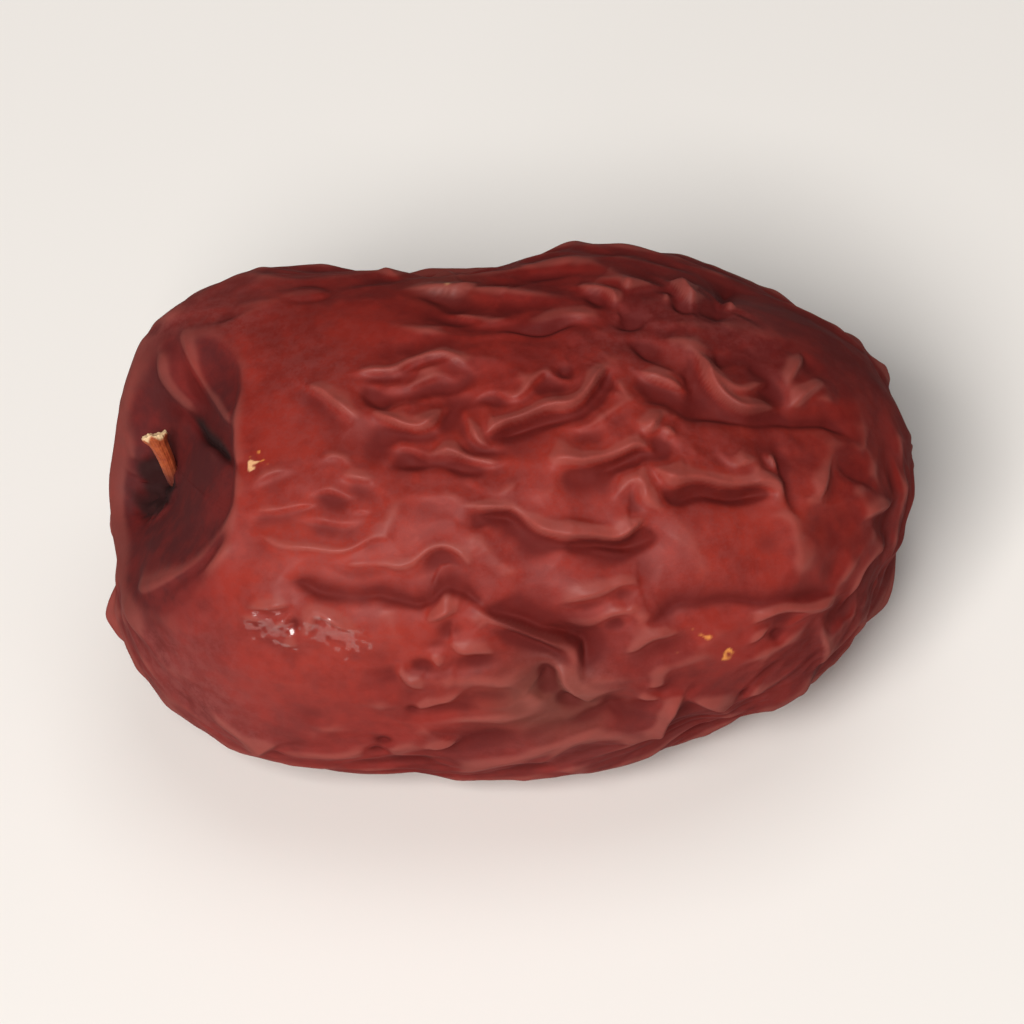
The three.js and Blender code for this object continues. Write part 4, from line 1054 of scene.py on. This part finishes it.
def fruit_pieces(material):
    """The skin as pieces of one grid, with the grid's normals at their seams. Nothing of it goes
    below the floor."""
    vectors = skin_grid()
    points, plain, place = skin_points(vectors.reshape(-1, 3))
    grid = eased((points + BODY_PLACE).reshape(vectors.shape))
    grid[..., 2] = np.maximum(grid[..., 2], 0)
    normals = grid_normals(grid)
    near, far = standing(grid, outward(plain).reshape(grid.shape))
    masks = skin_masks(plain, *place, near, far)
    masks = {name: values.reshape(grid.shape[:2]) for name, values in masks.items()}
    part = COLUMNS // len(SKIN_PIECES)
    for number, side in enumerate(SKIN_PIECES):
        columns = np.arange(number * part, (number + 1) * part + 1) % COLUMNS
        shares = {name: poles_joined(values[:, columns]) for name, values in masks.items()}
        faces = grid_faces(len(grid), len(columns), closed=False)
        make_piece("jujube_skin_" + side, poles_joined(grid[:, columns]), faces, shares, material,
                   "fruit", poles_joined(normals[:, columns]))


# The stalk's radius by share of its length; the torn end is ragged and flattened
STALK_PROFILE = [
    (0.0, 0.20), (0.08, 0.30), (0.3, 0.40), (0.6, 0.45), (0.85, 0.50), (0.95, 0.62), (1.0, 0.60),
]
SIDE_RINGS, END_RINGS, STALK_COLUMNS = 72, 18, 96
STALK_BEND = 0.12
STALK_FOOT_UP = 0.15  # the foot's height above the skin, in mm
STALK_SHIFT = (0.35, -0.17)  # how far the foot is moved right and back in the pit, in mm
# Ridges round the stalk: height, number, phase, twist
FIBRES = [(0.03, 9, 0.0, 2.0), (0.02, 23, 1.0, -3.0)]
TORN_TEETH = [(0.06, 3, 0.7, 0.0), (0.04, 8, 2.1, 0.0), (0.02, 19, 0.0, 0.0)]
PALE_TEETH = [(0.03, 5, 0.0, 0.0)]
TORN_FROM = 0.75
TORN_TILT = 0.85  # the torn end faces away from the front
TORN_SPLAY, SPLAY_TURN = 0.18, 0.4
TORN_HOLLOW = 0.10
# The second pair of shares is where the foot's painted shade fades out
PALE_FROM, SHADED_FOOT = (0.93, 0.985), (0.10, 0.55)  # shares of the length


def ridges(turn, run, table):
    """Sum of waves round the stalk, each height x sin(number x turn + phase + twist x run)."""
    waves = [size * np.sin(number * turn + phase + twist * run) for size, number, phase, twist in table]
    return sum(waves)


def stalk_piece(material):
    """The stub: a radius profile along its axis, with fibres as ridges round it, bent in half a sine
    wave, and an end cap whose height is ragged, tilted and a little hollow."""
    run = np.concatenate([np.linspace(0, 1, SIDE_RINGS), np.ones(END_RINGS)])
    shrink = np.concatenate([np.ones(SIDE_RINGS), np.linspace(1, 0, END_RINGS + 1)[1:]])[:, None]
    around = np.linspace(0, 2 * np.pi, STALK_COLUMNS, endpoint=False)
    run, turn = np.meshgrid(run, around, indexing="ij")
    radius = np.interp(run, *np.transpose(STALK_PROFILE))
    flare = rise(TORN_FROM, 1.0, run)
    ragged = ridges(turn, run, TORN_TEETH) - TORN_TILT * radius * np.sin(turn)
    splay = 1 + TORN_SPLAY * flare * np.cos(turn - SPLAY_TURN) ** 2
    radius = radius * (1 + ridges(turn, run, FIBRES)) * splay * shrink
    height = STALK_LENGTH * run + ragged * flare * shrink**0.5
    height = height - TORN_HOLLOW * flare * (1 - shrink**2)
    right = unit(np.cross([0.0, 1.0, 0.0], STALK_LEAN))
    back = np.cross(STALK_LEAN, right)
    bend = STALK_BEND * np.sin(np.pi * run)
    points = (
        height[..., None] * STALK_LEAN
        + (radius * np.cos(turn) + bend)[..., None] * right
        + (radius * np.sin(turn))[..., None] * back
    )
    points[0] = points[0].mean(0)
    points[-1] = points[-1].mean(0)
    foot = skin_points(direction_at(*STALK_FOOT)[None])[0][0] + BODY_PLACE
    moved = PIT_AXIS * STALK_FOOT_UP + PIT_RIGHT * STALK_SHIFT[0] + PIT_BACK * STALK_SHIFT[1]
    masks = {
        "torn": poles_joined(rise(*PALE_FROM, run + ridges(turn, run, PALE_TEETH))),
        # painted shade on the foot
        "foot": poles_joined(1 - rise(*SHADED_FOOT, run)),
    }
    faces = grid_faces(len(points), STALK_COLUMNS, closed=True)
    make_piece("stalk_stub", poles_joined(points + (foot + moved)), faces, masks, material,
               "stalk")


# Stage and lights, in metres: name, place, size, power, colour
FLOOR_REACH, FLOOR_ROUGHNESS = 1.5, 0.55
LIGHTS_AIM = (0, 0, 0.012)
LIGHTS = [
    ("window", (-0.18, -0.60, 0.68), (0.34, 0.34), 9.3, (1.0, 0.98, 0.95)),
    ("low window", (-0.33, -0.50, 0.14), (0.14, 0.10), 0.50, (1.0, 1.0, 1.0)),
    ("overhead softbox", (0.10, 0.05, 0.85), (0.5, 0.5), 1.6, (1.0, 1.0, 1.0)),
]
ROOM_COLOUR, ROOM_STRENGTH = (1.0, 0.97, 0.93, 1), 0.10


def floor_piece():
    """A plain pale square under the fruit."""
    mesh = bpy.data.meshes.new("floor")
    corners = [(-1, -1), (1, -1), (1, 1), (-1, 1)]
    mesh.from_pydata([(x * FLOOR_REACH, y * FLOOR_REACH, 0) for x, y in corners], [], [(0, 1, 2, 3)])
    material, _, shader = new_material("pale floor")
    shader.inputs["Base Color"].default_value = (*FLOOR_PALE, 1)
    shader.inputs["Roughness"].default_value = FLOOR_ROUGHNESS
    mesh.materials.append(material)
    floor = bpy.data.objects.new("floor", mesh)
    bpy.context.scene.collection.objects.link(floor)


def studio_light():
    """Area lights that all point at the fruit, and the faint light of the room."""
    for name, place, size, power, colour in LIGHTS:
        light = bpy.data.lights.new(name, "AREA")
        light.shape = "RECTANGLE"
        light.size, light.size_y = size
        light.energy = power
        light.color = colour
        lamp = bpy.data.objects.new(name, light)
        lamp.location = place
        towards = Vector(LIGHTS_AIM) - Vector(place)
        lamp.rotation_euler = towards.to_track_quat("-Z", "Y").to_euler()
        bpy.context.scene.collection.objects.link(lamp)
    world = bpy.data.worlds.new("studio")
    world.use_nodes = True
    background = world.node_tree.nodes["Background"]
    background.inputs["Color"].default_value = ROOM_COLOUR
    background.inputs["Strength"].default_value = ROOM_STRENGTH
    bpy.context.scene.world = world


def photo_camera():
    """Looks straight at the fruit's middle from the photograph's elevation, with its roll."""
    elevation, roll = np.radians(VIEW_ELEVATION), np.radians(VIEW_ROLL)
    back = np.array([0, -np.cos(elevation), np.sin(elevation)])
    right = np.array([1.0, 0, 0])
    up = np.cross(back, right)
    turned_right = np.cos(roll) * right - np.sin(roll) * up
    turned_up = np.sin(roll) * right + np.cos(roll) * up
    place = BODY_PLACE * MM + back * VIEW_DISTANCE
    data = bpy.data.cameras.new("camera")
    data.sensor_width = SENSOR_WIDTH
    data.lens = SENSOR_WIDTH * VIEW_DISTANCE / FRAME_WIDTH
    data.clip_start, data.clip_end = NEAREST_SEEN, FARTHEST_SEEN
    camera = bpy.data.objects.new("camera", data)
    columns = np.column_stack([turned_right, turned_up, back, place])
    camera.matrix_world = Matrix(np.vstack([columns, [0, 0, 0, 1]]).tolist())
    bpy.context.scene.collection.objects.link(camera)
    bpy.context.scene.camera = camera


mottle_group, grain_group = dried_mottle(), dried_grain()
fruit_pieces(skin_material(mottle_group, grain_group))
stalk_piece(stalk_material(mottle_group, grain_group))
floor_piece()
studio_light()
photo_camera()
bpy.context.scene.view_settings.view_transform = "Standard"
